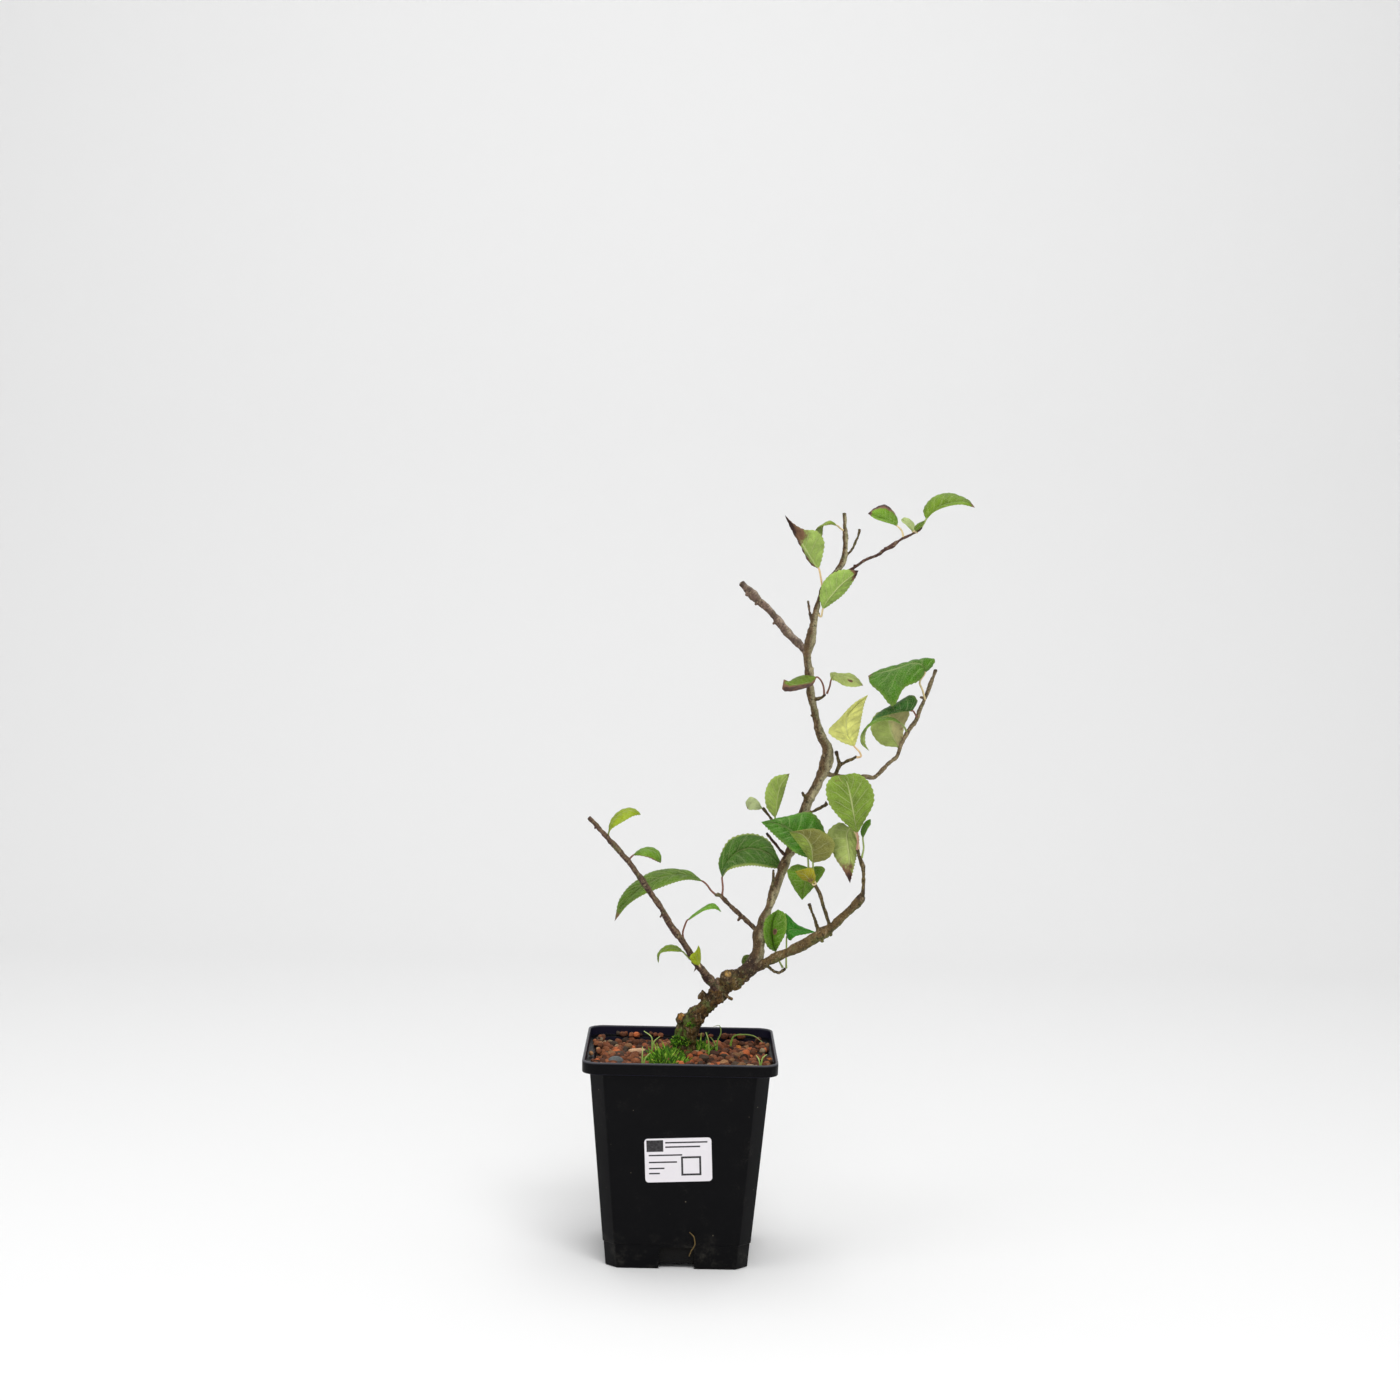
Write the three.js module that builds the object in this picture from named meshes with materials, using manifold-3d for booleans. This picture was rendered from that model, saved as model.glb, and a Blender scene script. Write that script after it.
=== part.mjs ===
// A Japanese winterberry trained as a bonsai, in its square black nursery pot.
// Millimetres, +Z up. The origin is the middle of the pot's underside and the front is -Y.

import * as THREE from 'three';
import { mergeVertices } from 'three/addons/utils/BufferGeometryUtils.js';
import Module from 'manifold-3d';

const wasm = await Module();
wasm.setup();
const { Manifold, Mesh: SolidMesh } = wasm;

// Driving dimensions of the pot
const POT_HEIGHT = 120;
const RIM_WIDTH = 110;
const RIM_HEIGHT = 7;
const RIM_RADIUS = 9;
const BODY_TOP = 101.5;
const BODY_BOTTOM = 81.5;
const CHAMFER_TOP = 7.8;
const CHAMFER_BOTTOM = 6.7;
const WALL = 1.4;
const FLOOR = 2.4;
const FOOT_HEIGHT = 14;
const FOOT_STEP = 0.5;
const SLOT_WIDTH = 20;
const SLOT_TOP = 12.5;
const SLOT_CORNER = 2.5;
const EDGE = 0.5;

// Clear gap between pieces that touch
const GAP = 0.3;

// Label
const LABEL_WIDTH = 37.6;
const LABEL_HEIGHT = 25.4;
const LABEL_RADIUS = 2;
const LABEL_THICKNESS = 0.6;
const LABEL_CENTRE = 64;
const LABEL_TURN = THREE.MathUtils.degToRad(2.5);

// Soil: a bed of baked clay grains, heaped a little round the trunk
const SOIL_LEVEL = 113.8;
const SOIL_HEAP = 3.2;
const HEAP_REACH = 26;
const GRAIN_CELL = 8;
const GRAIN_SHIFT = 1.2;
const GRAIN_RISE = 1.9;
const GRAIN_HOLLOW = 0.2;

// Blades, and the share of the rib's first stretch that the stalk runs on under the blade
const BLADE_THICKNESS = 0.6;
const STALK_RADIUS = 0.55;
const STALK_OVERLAP = 0.5;

// The plant's routes give x and z as they look from the eye, on the upright plane through the
// pot's middle, and y as the true depth behind that plane.
const EYE = new THREE.Vector3(-1.3, -1400, 403);

// Where the trunk stands in the soil
const TRUNK_FOOT = new THREE.Vector2(2, 9);

// Wood routes: [x, z, y, radius]
const WOOD = {
  trunk: [
    [2, 110, 9, 7.2], [2, 117, 9, 7.2], [3, 125, 8, 6.7], [6, 133.5, 7, 5.5], [12.5, 141, 5, 4.8],
    [19.5, 148, 4, 4.8], [26.5, 156, 2, 5.0], [34, 161, 1, 4.5], [40.5, 166.5, 0, 4.6]],
  old_knob: [
    [6.5, 131, 8, 3.5], [1.5, 134.5, 5, 3.5], [-1, 135.5, 3, 3.2]],
  cut_knob: [
    [28.5, 156, 1, 4.9], [26.5, 159.5, -1, 4.6], [25.5, 161.5, -3, 3.2]],
  left_shoot: [
    [21, 153.5, 1, 2.6], [17, 157.5, -1, 2.7], [12.5, 162.5, -4, 2.3], [7.5, 169, -7, 2.0],
    [1, 178.5, -11, 1.9], [-6.5, 189, -15, 1.9], [-12, 198, -19, 1.7], [-18, 206.5, -23, 1.7],
    [-25.5, 217.5, -27, 1.7], [-30, 223.5, -30, 1.6], [-37, 231.5, -33, 1.5], [-44, 239, -36, 1.5],
    [-49, 244, -38, 1.5], [-52.5, 248, -40, 1.3], [-55.5, 251, -41, 1.1]],
  leader: [
    [40.5, 165.5, 0, 4.3], [43, 172, 0, 4.0], [44, 179, 0, 3.5], [44.5, 186.5, 0, 3.6],
    [46, 192.5, 0, 2.7], [48, 197, 0, 2.2], [50, 203, 1, 2.4], [52, 210, 2, 2.9], [54.5, 217, 2, 2.6],
    [57, 223.5, 3, 2.7], [59.5, 230.5, 3, 2.9], [62.5, 236.5, 4, 2.6], [65.5, 246.5, 5, 2.7],
    [68.5, 256.5, 6, 3.0], [71, 264, 7, 3.0], [74.5, 270, 8, 2.8], [77, 275.5, 8, 2.8],
    [79.5, 281.5, 8, 3.0], [81, 288.5, 8, 3.5], [81, 293, 8, 3.5], [78, 299, 7, 2.7],
    [75.5, 305.5, 6, 2.2], [73.5, 313.5, 5, 2.2], [71.5, 321, 3, 2.2], [70, 329.5, 1, 2.0],
    [69.5, 337.5, 0, 2.4], [68.5, 344, -1, 2.3], [68.5, 349, -2, 2.9], [70, 355.5, -3, 2.7],
    [71, 363, -4, 2.4], [72.5, 371, -5, 2.0], [74, 378, -5, 1.3], [76, 385, -4, 1.1],
    [79.5, 390.5, -3, 1.1], [84.5, 396, -1, 1.6], [87.5, 401.5, 1, 1.7], [88.5, 408, 3, 1.4],
    [88.5, 415, 4, 1.4], [88, 422, 5, 1.3], [87.5, 428.5, 6, 1.3]],
  top_twig: [
    [88.5, 403.5, 2, 0.9], [92, 407.5, 5, 0.7], [94.5, 412.5, 8, 0.7], [96, 416.5, 10, 0.7],
    [96.5, 419.5, 11, 0.6]],
  side_stub: [
    [70.5, 366, -4, 1.0], [69, 371.5, -3, 0.7], [68, 378, -1, 0.6]],
  upper_right: [
    [82.5, 394, -2, 1.2], [90.5, 395.5, -5, 1.0], [95, 398, -7, 1.0], [100.5, 402, -10, 1.0],
    [107, 405, -13, 0.9], [111.5, 408, -15, 1.1], [114.5, 409.5, -17, 1.4], [118.5, 412.5, -19, 0.9],
    [122.5, 415, -21, 1.0], [127, 417.5, -23, 0.8], [130.5, 419.5, -25, 0.8], [132, 421.5, -26, 0.7]],
  upper_left: [
    [68.5, 348, -2, 2.6], [64, 352.5, 0, 2.4], [59, 357, 3, 2.2], [54, 362.5, 7, 2.2],
    [50, 367.5, 10, 2.2], [45, 373, 13, 2.2], [40.5, 377, 15, 2.3], [36, 381, 17, 2.5],
    [32.5, 384.5, 19, 2.0], [29.5, 387.5, 20, 1.9]],
  inner_left: [
    [45.5, 184.5, 2, 1.4], [39.5, 190, 5, 1.4], [34.5, 194.5, 8, 1.4], [28.5, 200, 11, 1.3],
    [23.5, 205, 14, 1.3], [21.5, 207, 15, 1.2], [18, 207.5, 16, 0.9]],
  hidden_twig: [
    [63.5, 239, 5, 1.0], [57, 243.5, 8, 0.9], [50, 251.5, 11, 0.9], [44.5, 258.5, 13, 0.9]],
  dark_twig: [
    [59.5, 231, 3, 1.0], [57, 232.5, 0, 1.0], [52, 238, -3, 0.9], [47, 244, -6, 0.9]],
  thin_twig: [
    [52.5, 210, 1, 0.9], [51, 212.5, -1, 0.7], [51.5, 218, -2, 0.7], [51.5, 223, -3, 0.6]],
  low_right: [
    [36.5, 163, 0, 3.5], [45, 166.5, -3, 2.6], [53.5, 171.5, -7, 2.7], [61, 175, -10, 2.6],
    [68, 178.5, -13, 3.0], [74.5, 182.5, -16, 3.1], [80, 186, -18, 3.0], [85, 189, -20, 2.7],
    [90.5, 194.5, -23, 2.5], [96, 200, -26, 2.5], [101, 205.5, -29, 2.5], [103, 208.5, -30, 2.1]],
  low_right_up: [
    [102.5, 206, -29, 1.7], [103.5, 212.5, -30, 1.1], [103.5, 219, -30, 1.0], [103, 226, -30, 1.2],
    [101, 231, -30, 1.0], [99.5, 235.5, -30, 1.0]],
  twig_a: [
    [85, 189, -20, 1.3], [83, 196, -19, 1.1], [80.5, 203, -18, 1.1], [78.5, 209, -17, 1.1],
    [75.5, 214.5, -16, 0.9], [74, 217, -16, 0.9]],
  twig_b: [
    [78.5, 186.5, -18, 1.1], [76.5, 192.5, -20, 0.9], [74.5, 198.5, -23, 0.8],
    [72.5, 203.5, -25, 1.1]],
  under_twig: [
    [47, 169, -3, 1.1], [50, 166, -3, 0.9], [53.5, 163.5, -2, 0.9], [56.5, 163, -1, 0.9],
    [59.5, 165.5, 0, 0.9]],
  right: [
    [80.5, 279, 8, 1.4], [85.5, 278, 10, 1.2], [94.5, 277, 13, 1.2], [103.5, 277.5, 15, 1.2],
    [107.5, 277, 17, 1.3], [111.5, 280, 19, 1.2], [116, 285, 21, 1.3], [121, 289.5, 24, 1.3],
    [123, 295, 27, 1.2], [126, 302, 30, 1.2], [128.5, 306.5, 32, 1.2], [132, 311.5, 34, 1.5],
    [133.5, 317, 36, 1.1], [136.5, 323.5, 38, 1.2], [139, 331.5, 40, 1.1], [141, 337, 41, 1.2],
    [142, 340, 42, 1.1]],
  right_spur: [
    [85.5, 277.5, 10, 1.2], [87, 281, 9, 1.2], [88, 284, 8, 1.2], [87, 288.5, 6, 1.0],
    [86, 292, 5, 1.2]],
  right_arm: [
    [88, 283.5, 8, 1.0], [92, 286, 6, 0.9], [95.5, 287.5, 4, 0.9], [98, 289, 3, 0.9]],
  mid_twig: [
    [69.5, 255, 6, 1.2], [74, 257, 4, 0.9], [77.5, 259, 2, 0.9], [82, 261.5, 0, 1.0]],
  mid_spur: [
    [72, 264, 6, 1.2], [68.5, 265.5, 4, 1.0], [67, 268, 3, 0.7]],
  high_spur: [
    [71.5, 321.5, 3, 1.2], [75, 322, 1, 1.0], [78, 323.5, -1, 0.9], [79, 324.5, -2, 0.9]],
};

// Buds, knots and pruned stubs, as short tapering stems: [x, z, y, radius]
const BUDS = [
  [[-47, 241, -37, 0.7], [-47, 243.5, -38, 0.5]],
  [[-50, 246, -39, 0.7], [-52, 244.5, -40, 0.5]],
  [[-42, 237.5, -35.5, 0.7], [-44, 236, -36, 0.5]],
  [[-11, 197, -18.5, 0.9], [-13.5, 193.5, -20, 0.5]],
  [[1.5, 178.5, -11, 0.9], [0, 182, -12, 0.5]],
  [[9.5, 167.5, -6, 0.7], [6.5, 162, -8, 0.3]],
  [[20.5, 207, 15.5, 0.9], [19.5, 209, 15, 0.5]],
  [[72.5, 372, -5, 1.2], [75, 370, -6, 0.6]],
  [[136.5, 323.5, 38, 1.0], [133.5, 324, 36, 0.7]],
  [[80, 259.5, 1, 0.9], [81, 263, 0, 0.6]],
  [[34.5, 382.5, 17, 1.4], [32, 380, 17, 0.7]],
  [[40.5, 378, 15, 1.4], [37.5, 375, 14, 0.7]],
  [[47, 370.5, 12, 1.2], [49, 371.5, 11, 0.6]],
  [[51, 366.5, 9, 1.2], [48, 364, 8, 0.6]],
  [[24.5, 151, 2, 1.7], [27.5, 148, -1, 1.0], [29.5, 147, -2, 0.7]],
  [[79, 185, -18, 1.4], [81, 181, -19, 0.9]],
  [[83.5, 189, -20, 1.7], [86, 185, -21, 0.9]],
  [[33.5, 195.5, 8.5, 1.2], [31.5, 192.5, 8, 0.7]],
  [[112.5, 408, -15.5, 0.9], [110.5, 409.5, -16, 0.5]],
  [[95.5, 398, -7, 0.9], [93.5, 399, -8, 0.5]],
  [[73, 312.5, 5, 1.4], [71, 312, 4, 0.7]],
  [[80.5, 293.5, 8, 2.6], [83.5, 290.5, 7, 1.4]],
  [[69, 339.5, 0, 2.0], [72, 338.5, -1, 1.2]],
  [[88, 415.5, 4, 1.2], [90, 416, 3, 0.6]],
  [[87.5, 404, 2, 1.4], [90, 403.5, 2, 0.9]],
  [[20.5, 154.5, 2, 2.6], [21, 159, 1, 1.2]],
  [[13.5, 151, 4, 2.3], [10.5, 147, 3, 1.4]],
];

// Roots buried in the soil: [x, y, z, radius]
const ROOTS = [
  [[2, 8, 114, 5.5], [-8, 0, 105, 3.2], [-19, -10, 92, 1.2]],
  [[3, 7, 113, 5.5], [11, -3, 103, 3], [20, -12, 88, 1.2]],
  [[2, 10, 113, 5.5], [6, 18, 102, 3.2], [9, 25, 86, 1.2]],
];

// Leaves, from the wood outwards, as points [x, z, y] on the stalk, the rib and the two margins. The
// margins start at the rib's foot and meet at its tip.
const LEAVES = {
  leaf_01: {
    tone: 'fresh',
    stalk: [[-44, 239.2, -36], [-44, 240.6, -36]],
    rib: [[-43.8, 242.2, -36], [-42.2, 247.4, -36], [-39.2, 251.8, -35], [-34.6, 254.8, -34],
      [-30.2, 255.4, -33], [-27.2, 254.6, -32], [-25.4, 253, -31]],
    left: [[-42, 249.4, -29], [-37.2, 254.6, -27], [-30.6, 256.2, -27]],
    right: [[-41.6, 245, -41], [-35.6, 249, -42], [-29.4, 252.4, -37]],
  },
  leaf_02: {
    tone: 'green',
    stalk: [[-31.8, 225, -30.4], [-31.2, 227.6, -30]],
    rib: [[-29.6, 229.4, -29], [-25.6, 232, -28], [-21, 233, -26],
      [-16.8, 231.6, -25], [-14, 228.8, -24], [-13.4, 225.4, -23]],
    left: [[-25, 232.6, -21], [-19.8, 234, -18], [-15.2, 231.8, -18]],
    right: [[-25.4, 229.4, -34], [-20.6, 228.4, -33], [-16.2, 226.4, -29]],
  },
  leaf_03: {
    tone: 'deep',
    stalk: [[18.8, 207.4, 16], [15.8, 210, 16.4], [13.4, 213.2, 17]],
    rib: [[11, 215.2, 17], [3.6, 217.8, 16], [-5.2, 218.6, 13], [-13.8, 216.6, 9], [-20.6, 213, 6],
      [-27.4, 208.2, 3], [-33, 201.8, -1], [-37, 196, -4], [-39.4, 191.2, -6]],
    left: [[0.2, 215.8, 7], [-16, 210.2, 1], [-30.8, 201.6, -6]],
    right: [[2.4, 221, 23], [-19.6, 219.8, 16], [-35.4, 205.8, 5]],
  },
  leaf_04: {
    tone: 'deep',
    stalk: [[22.2, 207, 15], [22.6, 211.6, 17]],
    rib: [[22, 217.4, 18], [23, 223.2, 19], [27, 229.6, 20], [33.2, 233.8, 20],
      [41.2, 234.6, 18], [48.8, 231.8, 15], [54, 227.2, 13], [57.6, 223.2, 11]],
    left: [[20, 227.2, 23], [25.6, 239.4, 24], [36.4, 243.4, 24], [48, 239.8, 20]],
    right: [[26.4, 222.4, 12], [38, 225, 12], [49, 224, 10]],
  },
  leaf_05: {
    tone: 'green',
    stalk: [[0.8, 179.8, -11], [0, 185, -12], [1, 189, -13]],
    rib: [[2.4, 192.4, -14], [6.2, 195.2, -14], [10.8, 198.2, -14],
      [15.4, 201, -15], [18.8, 200.4, -16], [22, 197.6, -17]],
    left: [[7.4, 196.6, -10], [12.6, 200.2, -9], [17.4, 202.4, -11]],
    right: [[7.4, 195.4, -17], [12.6, 198.2, -19], [18, 199.2, -19]],
  },
  leaf_06: {
    tone: 'fresh',
    stalk: [[4.4, 170, -8], [2.4, 172, -6.4]],
    rib: [[0.4, 174, -5], [-3.2, 175.8, -4], [-6.6, 176.2, -3],
      [-10.6, 175, -2], [-13.4, 172.2, -1], [-13.8, 167.2, -1]],
    left: [[-2.6, 174, -9], [-8.2, 174, -8], [-12.8, 172.6, -5]],
    right: [[-3.2, 177.2, 2], [-8.4, 177.6, 3], [-13.8, 172.8, 2]],
  },
  leaf_07: {
    tone: 'fresh',
    stalk: [[12.8, 162, -4], [11.2, 164.2, -5.6]],
    rib: [[10, 166.2, -8], [8.8, 170, -10], [8.4, 173.6, -12], [9.2, 178, -13]],
    left: [[6.2, 167.4, -10], [4.2, 171.4, -12], [7.6, 174.6, -13]],
    right: [[10.6, 169.6, -5], [10.6, 173.6, -8], [10.2, 176.2, -11]],
  },
  leaf_08: {
    tone: 'pale',
    stalk: [[54.8, 245.8, 9], [52.6, 249.2, 8]],
    rib: [[51.8, 252.6, 7], [52.2, 259.6, 6], [53, 266, 5], [54.8, 272.4, 4], [59.6, 278.6, 3]],
    left: [[46.8, 259, 4], [46, 268.2, 3], [50.4, 276, 2]],
    right: [[54, 259, 9], [56, 265.4, 9], [58, 273.6, 6]],
  },
  leaf_09: {
    tone: 'pale',
    stalk: [[45.6, 256.6, 13]],
    rib: [[44.4, 258, 13], [41.2, 260, 14], [37.8, 260.4, 15], [35.8, 257.6, 16]],
    left: [[41.8, 257.2, 10], [39, 257.2, 10], [37.2, 257, 12]],
    right: [[41.8, 262.4, 17], [37.6, 264.6, 18], [34.8, 261.6, 18]],
  },
  leaf_10: {
    tone: 'deep',
    stalk: [[72.6, 217.2, -16], [71.8, 223, -16]],
    rib: [[71.2, 230, -15], [68.8, 236.8, -14], [64.6, 242.6, -13],
      [58.8, 247, -13], [51.2, 249.8, -14], [43.8, 250.2, -15]],
    left: [[64.8, 232.4, -18], [56.6, 238.6, -16], [49, 245.4, -15]],
    right: [[79.2, 236.4, -11], [80, 246.8, -9], [73, 256, -8], [57.4, 253.4, -10]],
  },
  leaf_11: {
    tone: 'olive',
    stalk: [[74, 217.2, -17.6], [74.4, 221.8, -19.6]],
    rib: [[74.2, 227, -21], [74, 232.8, -22], [72.8, 237.4, -23],
      [69.8, 242, -24], [65.8, 244.6, -25], [60.2, 244.8, -25]],
    left: [[70.6, 231, -18], [66, 237.4, -18], [62.4, 241.6, -20]],
    right: [[83.4, 230.4, -28], [86.4, 238.8, -31], [76.6, 246.6, -29]],
  },
  leaf_12: {
    tone: 'pale',
    stalk: [[100.4, 235.4, -28.8], [99.8, 240.4, -26.4]],
    rib: [[98.2, 245, -26], [95.6, 247.8, -25], [93.4, 244.2, -25],
      [94.2, 236.8, -28], [95.6, 227.4, -31], [95.8, 215.8, -33]],
    left: [[100, 243.8, -24], [99.4, 235, -25], [97.6, 224.6, -31]],
    right: [[89.2, 250.8, -18], [82.2, 244.6, -19], [86.8, 230.8, -25], [92.2, 222.8, -31]],
  },
  leaf_13: {
    tone: 'green',
    stalk: [[99.4, 235.4, -31], [99.8, 240.4, -33]],
    rib: [[99.4, 244.4, -33], [97.8, 251.2, -33], [96.2, 259.4, -31],
      [94.6, 266.8, -28], [92.8, 273.2, -25], [89.8, 278.2, -22]],
    left: [[90.4, 252.2, -32], [82.6, 262, -30], [81, 271.8, -27], [84.6, 277.2, -24]],
    right: [[104.2, 253.2, -31], [108.4, 264.2, -28], [106, 273.4, -25], [98.4, 279.2, -22]],
  },
  leaf_14: {
    tone: 'green',
    stalk: [[102.2, 230.6, -29.6], [103.2, 236.4, -25]],
    rib: [[102.6, 242, -24], [104, 247.4, -22], [106.8, 253.2, -20]],
    left: [[101.2, 245.6, -20], [102, 249, -19], [104.2, 252, -19]],
    right: [[104, 244.4, -26], [105.4, 247.6, -26], [107, 250.2, -23]],
  },
  leaf_15: {
    tone: 'deep',
    stalk: [[74, 217.2, -14.4], [74, 220.2, -12]],
    rib: [[72.6, 224.2, -10], [71, 218.4, -9], [69.4, 211.8, -9], [68.4, 205.4, -10]],
    left: [[76.8, 225.4, -13], [81.2, 224, -13], [76.2, 214.4, -11]],
    right: [[64.4, 226, -5], [59.6, 222.2, -5], [63, 213, -8]],
  },
  leaf_16: {
    tone: 'olive',
    stalk: [[75.2, 216.4, -16.4], [76.2, 215, -19]],
    rib: [[74.6, 214.4, -21], [72.2, 218, -22], [69.2, 220.6, -23], [64, 222, -24]],
    left: [[71.6, 216.2, -19], [68.4, 217, -19], [65.8, 219.4, -21]],
    right: [[76, 219, -24], [73.8, 224.2, -25], [68.6, 223.4, -25]],
  },
  leaf_17: {
    tone: 'deep',
    stalk: [[58.2, 165.8, -1], [56, 169.8, 0.4]],
    rib: [[53.8, 175, 1], [52.2, 180.2, 0], [51.2, 187.2, -2], [51.8, 193.6, -3], [54.6, 199.8, -4]],
    left: [[49, 178, -4], [46.6, 185.4, -6], [47.6, 194, -6]],
    right: [[56.2, 179.6, -5], [59.6, 187.4, -7], [58.8, 197.2, -7]],
  },
  leaf_18: {
    tone: 'green',
    stalk: [[60.2, 165.6, 1.2], [60, 170.4, 3], [60, 178, 4]],
    rib: [[60, 183.8, 5], [61.2, 187.6, 5], [65.2, 188.2, 6], [70.4, 187.6, 7], [76.6, 187, 8]],
    left: [[59.4, 190.2, 9], [58.8, 198, 11], [63.4, 192.6, 10], [69.2, 189.6, 9]],
    right: [[62, 181.8, 2], [65, 184.2, 2], [70.6, 185.6, 4]],
  },
  leaf_19: {
    tone: 'deep',
    stalk: [[39.2, 163, 4], [39, 164, 8]],
    rib: [[38.4, 164.8, 10], [36.8, 168.8, 11], [38, 173.2, 12]],
    left: [[35.4, 166, 12], [34.2, 169.4, 13], [35.6, 172.6, 13]],
    right: [[40.4, 166, 12], [41.4, 169.6, 12], [40.2, 172.2, 13]],
  },
  leaf_20: {
    tone: 'yellow',
    stalk: [[98.2, 288.6, 3], [100.4, 289.2, 1], [99.4, 291.8, 0]],
    rib: [[96.6, 294.6, 0], [93, 299.6, -1], [91, 306, -2],
      [91.8, 312.2, -3], [96.8, 318.8, -3], [103.6, 324.8, -2]],
    left: [[88.2, 297.8, -4], [81.4, 303.2, -6], [87.8, 311, -7], [95.6, 319.6, -5]],
    right: [[98.4, 300.4, 3], [100.2, 311.4, 2], [102, 320.6, 0]],
  },
  leaf_21: {
    tone: 'deep',
    stalk: [[136.4, 322.4, 37.6], [134.8, 328, 35], [133, 332.6, 33]],
    rib: [[136, 337.8, 32], [134.2, 342.4, 31], [128.4, 343.4, 31],
      [121, 340.8, 31], [112.4, 338.2, 30], [103.4, 335.6, 28]],
    left: [[132, 333, 27], [124.2, 329, 22], [118, 318.6, 21], [110.4, 326.2, 22], [104.8, 331.2, 25]],
    right: [[139.4, 341.4, 35], [141.2, 345.8, 38], [131.8, 345, 39],
      [121.6, 342.2, 38], [111.8, 339.2, 36]],
  },
  leaf_22: {
    tone: 'deep',
    stalk: [[132, 312, 34], [130.8, 314.4, 31]],
    rib: [[129.4, 316, 28], [122.8, 315.4, 26], [116.4, 314.6, 24],
      [110.8, 312.6, 22], [105.6, 309.2, 20]],
    left: [[122.8, 315.2, 23], [115.8, 313.6, 21.6], [110, 311.6, 20]],
    right: [[131.8, 322, 33], [128.8, 325, 34], [120.8, 321, 33], [112.6, 316.4, 29], [108.2, 312.4, 25]],
  },
  leaf_23: {
    tone: 'deep',
    stalk: [[126.4, 303.8, 31], [125, 306.4, 26]],
    rib: [[123.2, 308.4, 22], [119.2, 310.6, 19], [114.2, 311.2, 16], [109, 310, 13],
      [104, 306.8, 10], [101.6, 302.6, 8], [101.2, 297.6, 7], [105, 292.4, 6]],
    left: [[116.6, 310.6, 12], [107.4, 308.4, 8], [100.2, 301, 5], [100.4, 297, 5]],
    right: [[118.2, 311.8, 19], [108.4, 310.6, 15.6], [103, 303.8, 11], [102.6, 297, 9]],
  },
  leaf_24: {
    tone: 'pale',
    stalk: [[123.2, 294.2, 27], [122.4, 294.2, 30]],
    rib: [[121.6, 294.8, 32], [118.8, 300.2, 34], [116.6, 305.8, 35], [116, 311.6, 35], [117, 318.2, 34]],
    left: [[112.2, 296.2, 34], [105.8, 304.6, 36], [107.8, 313.2, 36]],
    right: [[124, 298.6, 36], [124.6, 306.6, 38], [127.4, 315.6, 38]],
  },
  leaf_25: {
    tone: 'pale',
    stalk: [[76, 385.4, -4], [75, 391, -8]],
    rib: [[73.8, 396.2, -11], [69.4, 402.6, -13], [65.2, 408.8, -15],
      [61.4, 415.4, -16], [57.6, 421.2, -16], [53.6, 426.6, -16]],
    left: [[68.6, 399.2, -5], [62.6, 409.6, -9], [57, 419.6, -13]],
    right: [[75.6, 404.2, -15], [76.2, 412, -17], [71.8, 417.8, -19],
      [64.8, 418.6, -18], [58.6, 421.8, -17]],
  },
  leaf_26: {
    tone: 'fresh',
    stalk: [[87.8, 418.2, 4.4], [85.8, 419.4, 3]],
    rib: [[83.6, 421.2, 2], [80, 422.4, -1], [76.6, 421.8, -3],
      [73.8, 419.6, -5], [72.8, 416.2, -6], [73.8, 412.2, -6]],
    left: [[79, 421.6, -6], [72.4, 419.6, -9], [70.8, 416.2, -9]],
    right: [[79.4, 423.4, 5], [75.8, 420.8, 2], [75.2, 415.6, -2]],
  },
  leaf_27: {
    tone: 'pale',
    stalk: [[73.2, 370.8, -5], [75.6, 369, -8]],
    rib: [[76.4, 373, -10], [78.8, 378, -12], [82.2, 382.4, -13],
      [86.6, 387.4, -13], [91.6, 391.8, -12], [96.4, 395.8, -11]],
    left: [[74.8, 380, -10], [77.4, 389.8, -10], [85.8, 395.8, -10]],
    right: [[81.6, 376.8, -9], [89, 382.6, -9], [93.8, 389.8, -9]],
  },
  leaf_28: {
    tone: 'green',
    stalk: [[121.6, 415.4, -21], [120.8, 418.6, -20.4], [119.6, 420.2, -20]],
    rib: [[118, 421.6, -19], [113.2, 424.2, -18], [107.4, 425.6, -17], [101, 428.4, -16]],
    left: [[115.4, 422.4, -22], [110.4, 423.8, -23], [105.2, 425.6, -21]],
    right: [[118.2, 425.6, -14], [115.2, 430.6, -12], [110.6, 433.8, -12], [105, 431.8, -13]],
  },
  leaf_29: {
    tone: 'pale',
    stalk: [[127.4, 417.6, -21.9]],
    rib: [[127, 418.4, -19], [124.6, 422, -18], [120.2, 425.6, -17]],
    left: [[125, 420.2, -21], [122.6, 422.6, -21], [120.4, 424.2, -19]],
    right: [[128.2, 421.6, -16], [126, 425, -15], [122.2, 426.6, -15]],
  },
  leaf_30: {
    tone: 'deep',
    stalk: [[129.4, 418.2, -24.4]],
    rib: [[127.8, 419, -27], [130.6, 421.6, -29], [133.6, 425, -31]],
    left: [[127.8, 421.2, -23], [129.8, 423.2, -24], [131.8, 424.2, -27]],
    right: [[129.6, 419.4, -31], [131.6, 421.2, -33], [133, 423, -32]],
  },
  leaf_31: {
    tone: 'green',
    stalk: [[131.8, 421.4, -26], [133.2, 423.6, -26]],
    rib: [[134.2, 425.6, -26], [137, 429.2, -26], [141.6, 432.4, -26], [146.6, 434.4, -27],
      [152.4, 435.6, -28], [157.4, 435.8, -29], [162, 433, -30]],
    left: [[133, 431.6, -20], [138, 438.6, -17], [147, 441.2, -17], [155.6, 438.6, -21]],
    right: [[139.8, 430.6, -30], [146.6, 433.6, -33], [154, 434.4, -33]],
  },
  leaf_32: {
    tone: 'green',
    stalk: [[78.4, 324.6, -3], [78, 328.6, -4.4], [76.4, 332.4, -7]],
    rib: [[74, 334.4, -9], [70.6, 331.4, -10], [65.6, 330.2, -10.4], [59.8, 330, -10], [55, 332.6, -9]],
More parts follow.
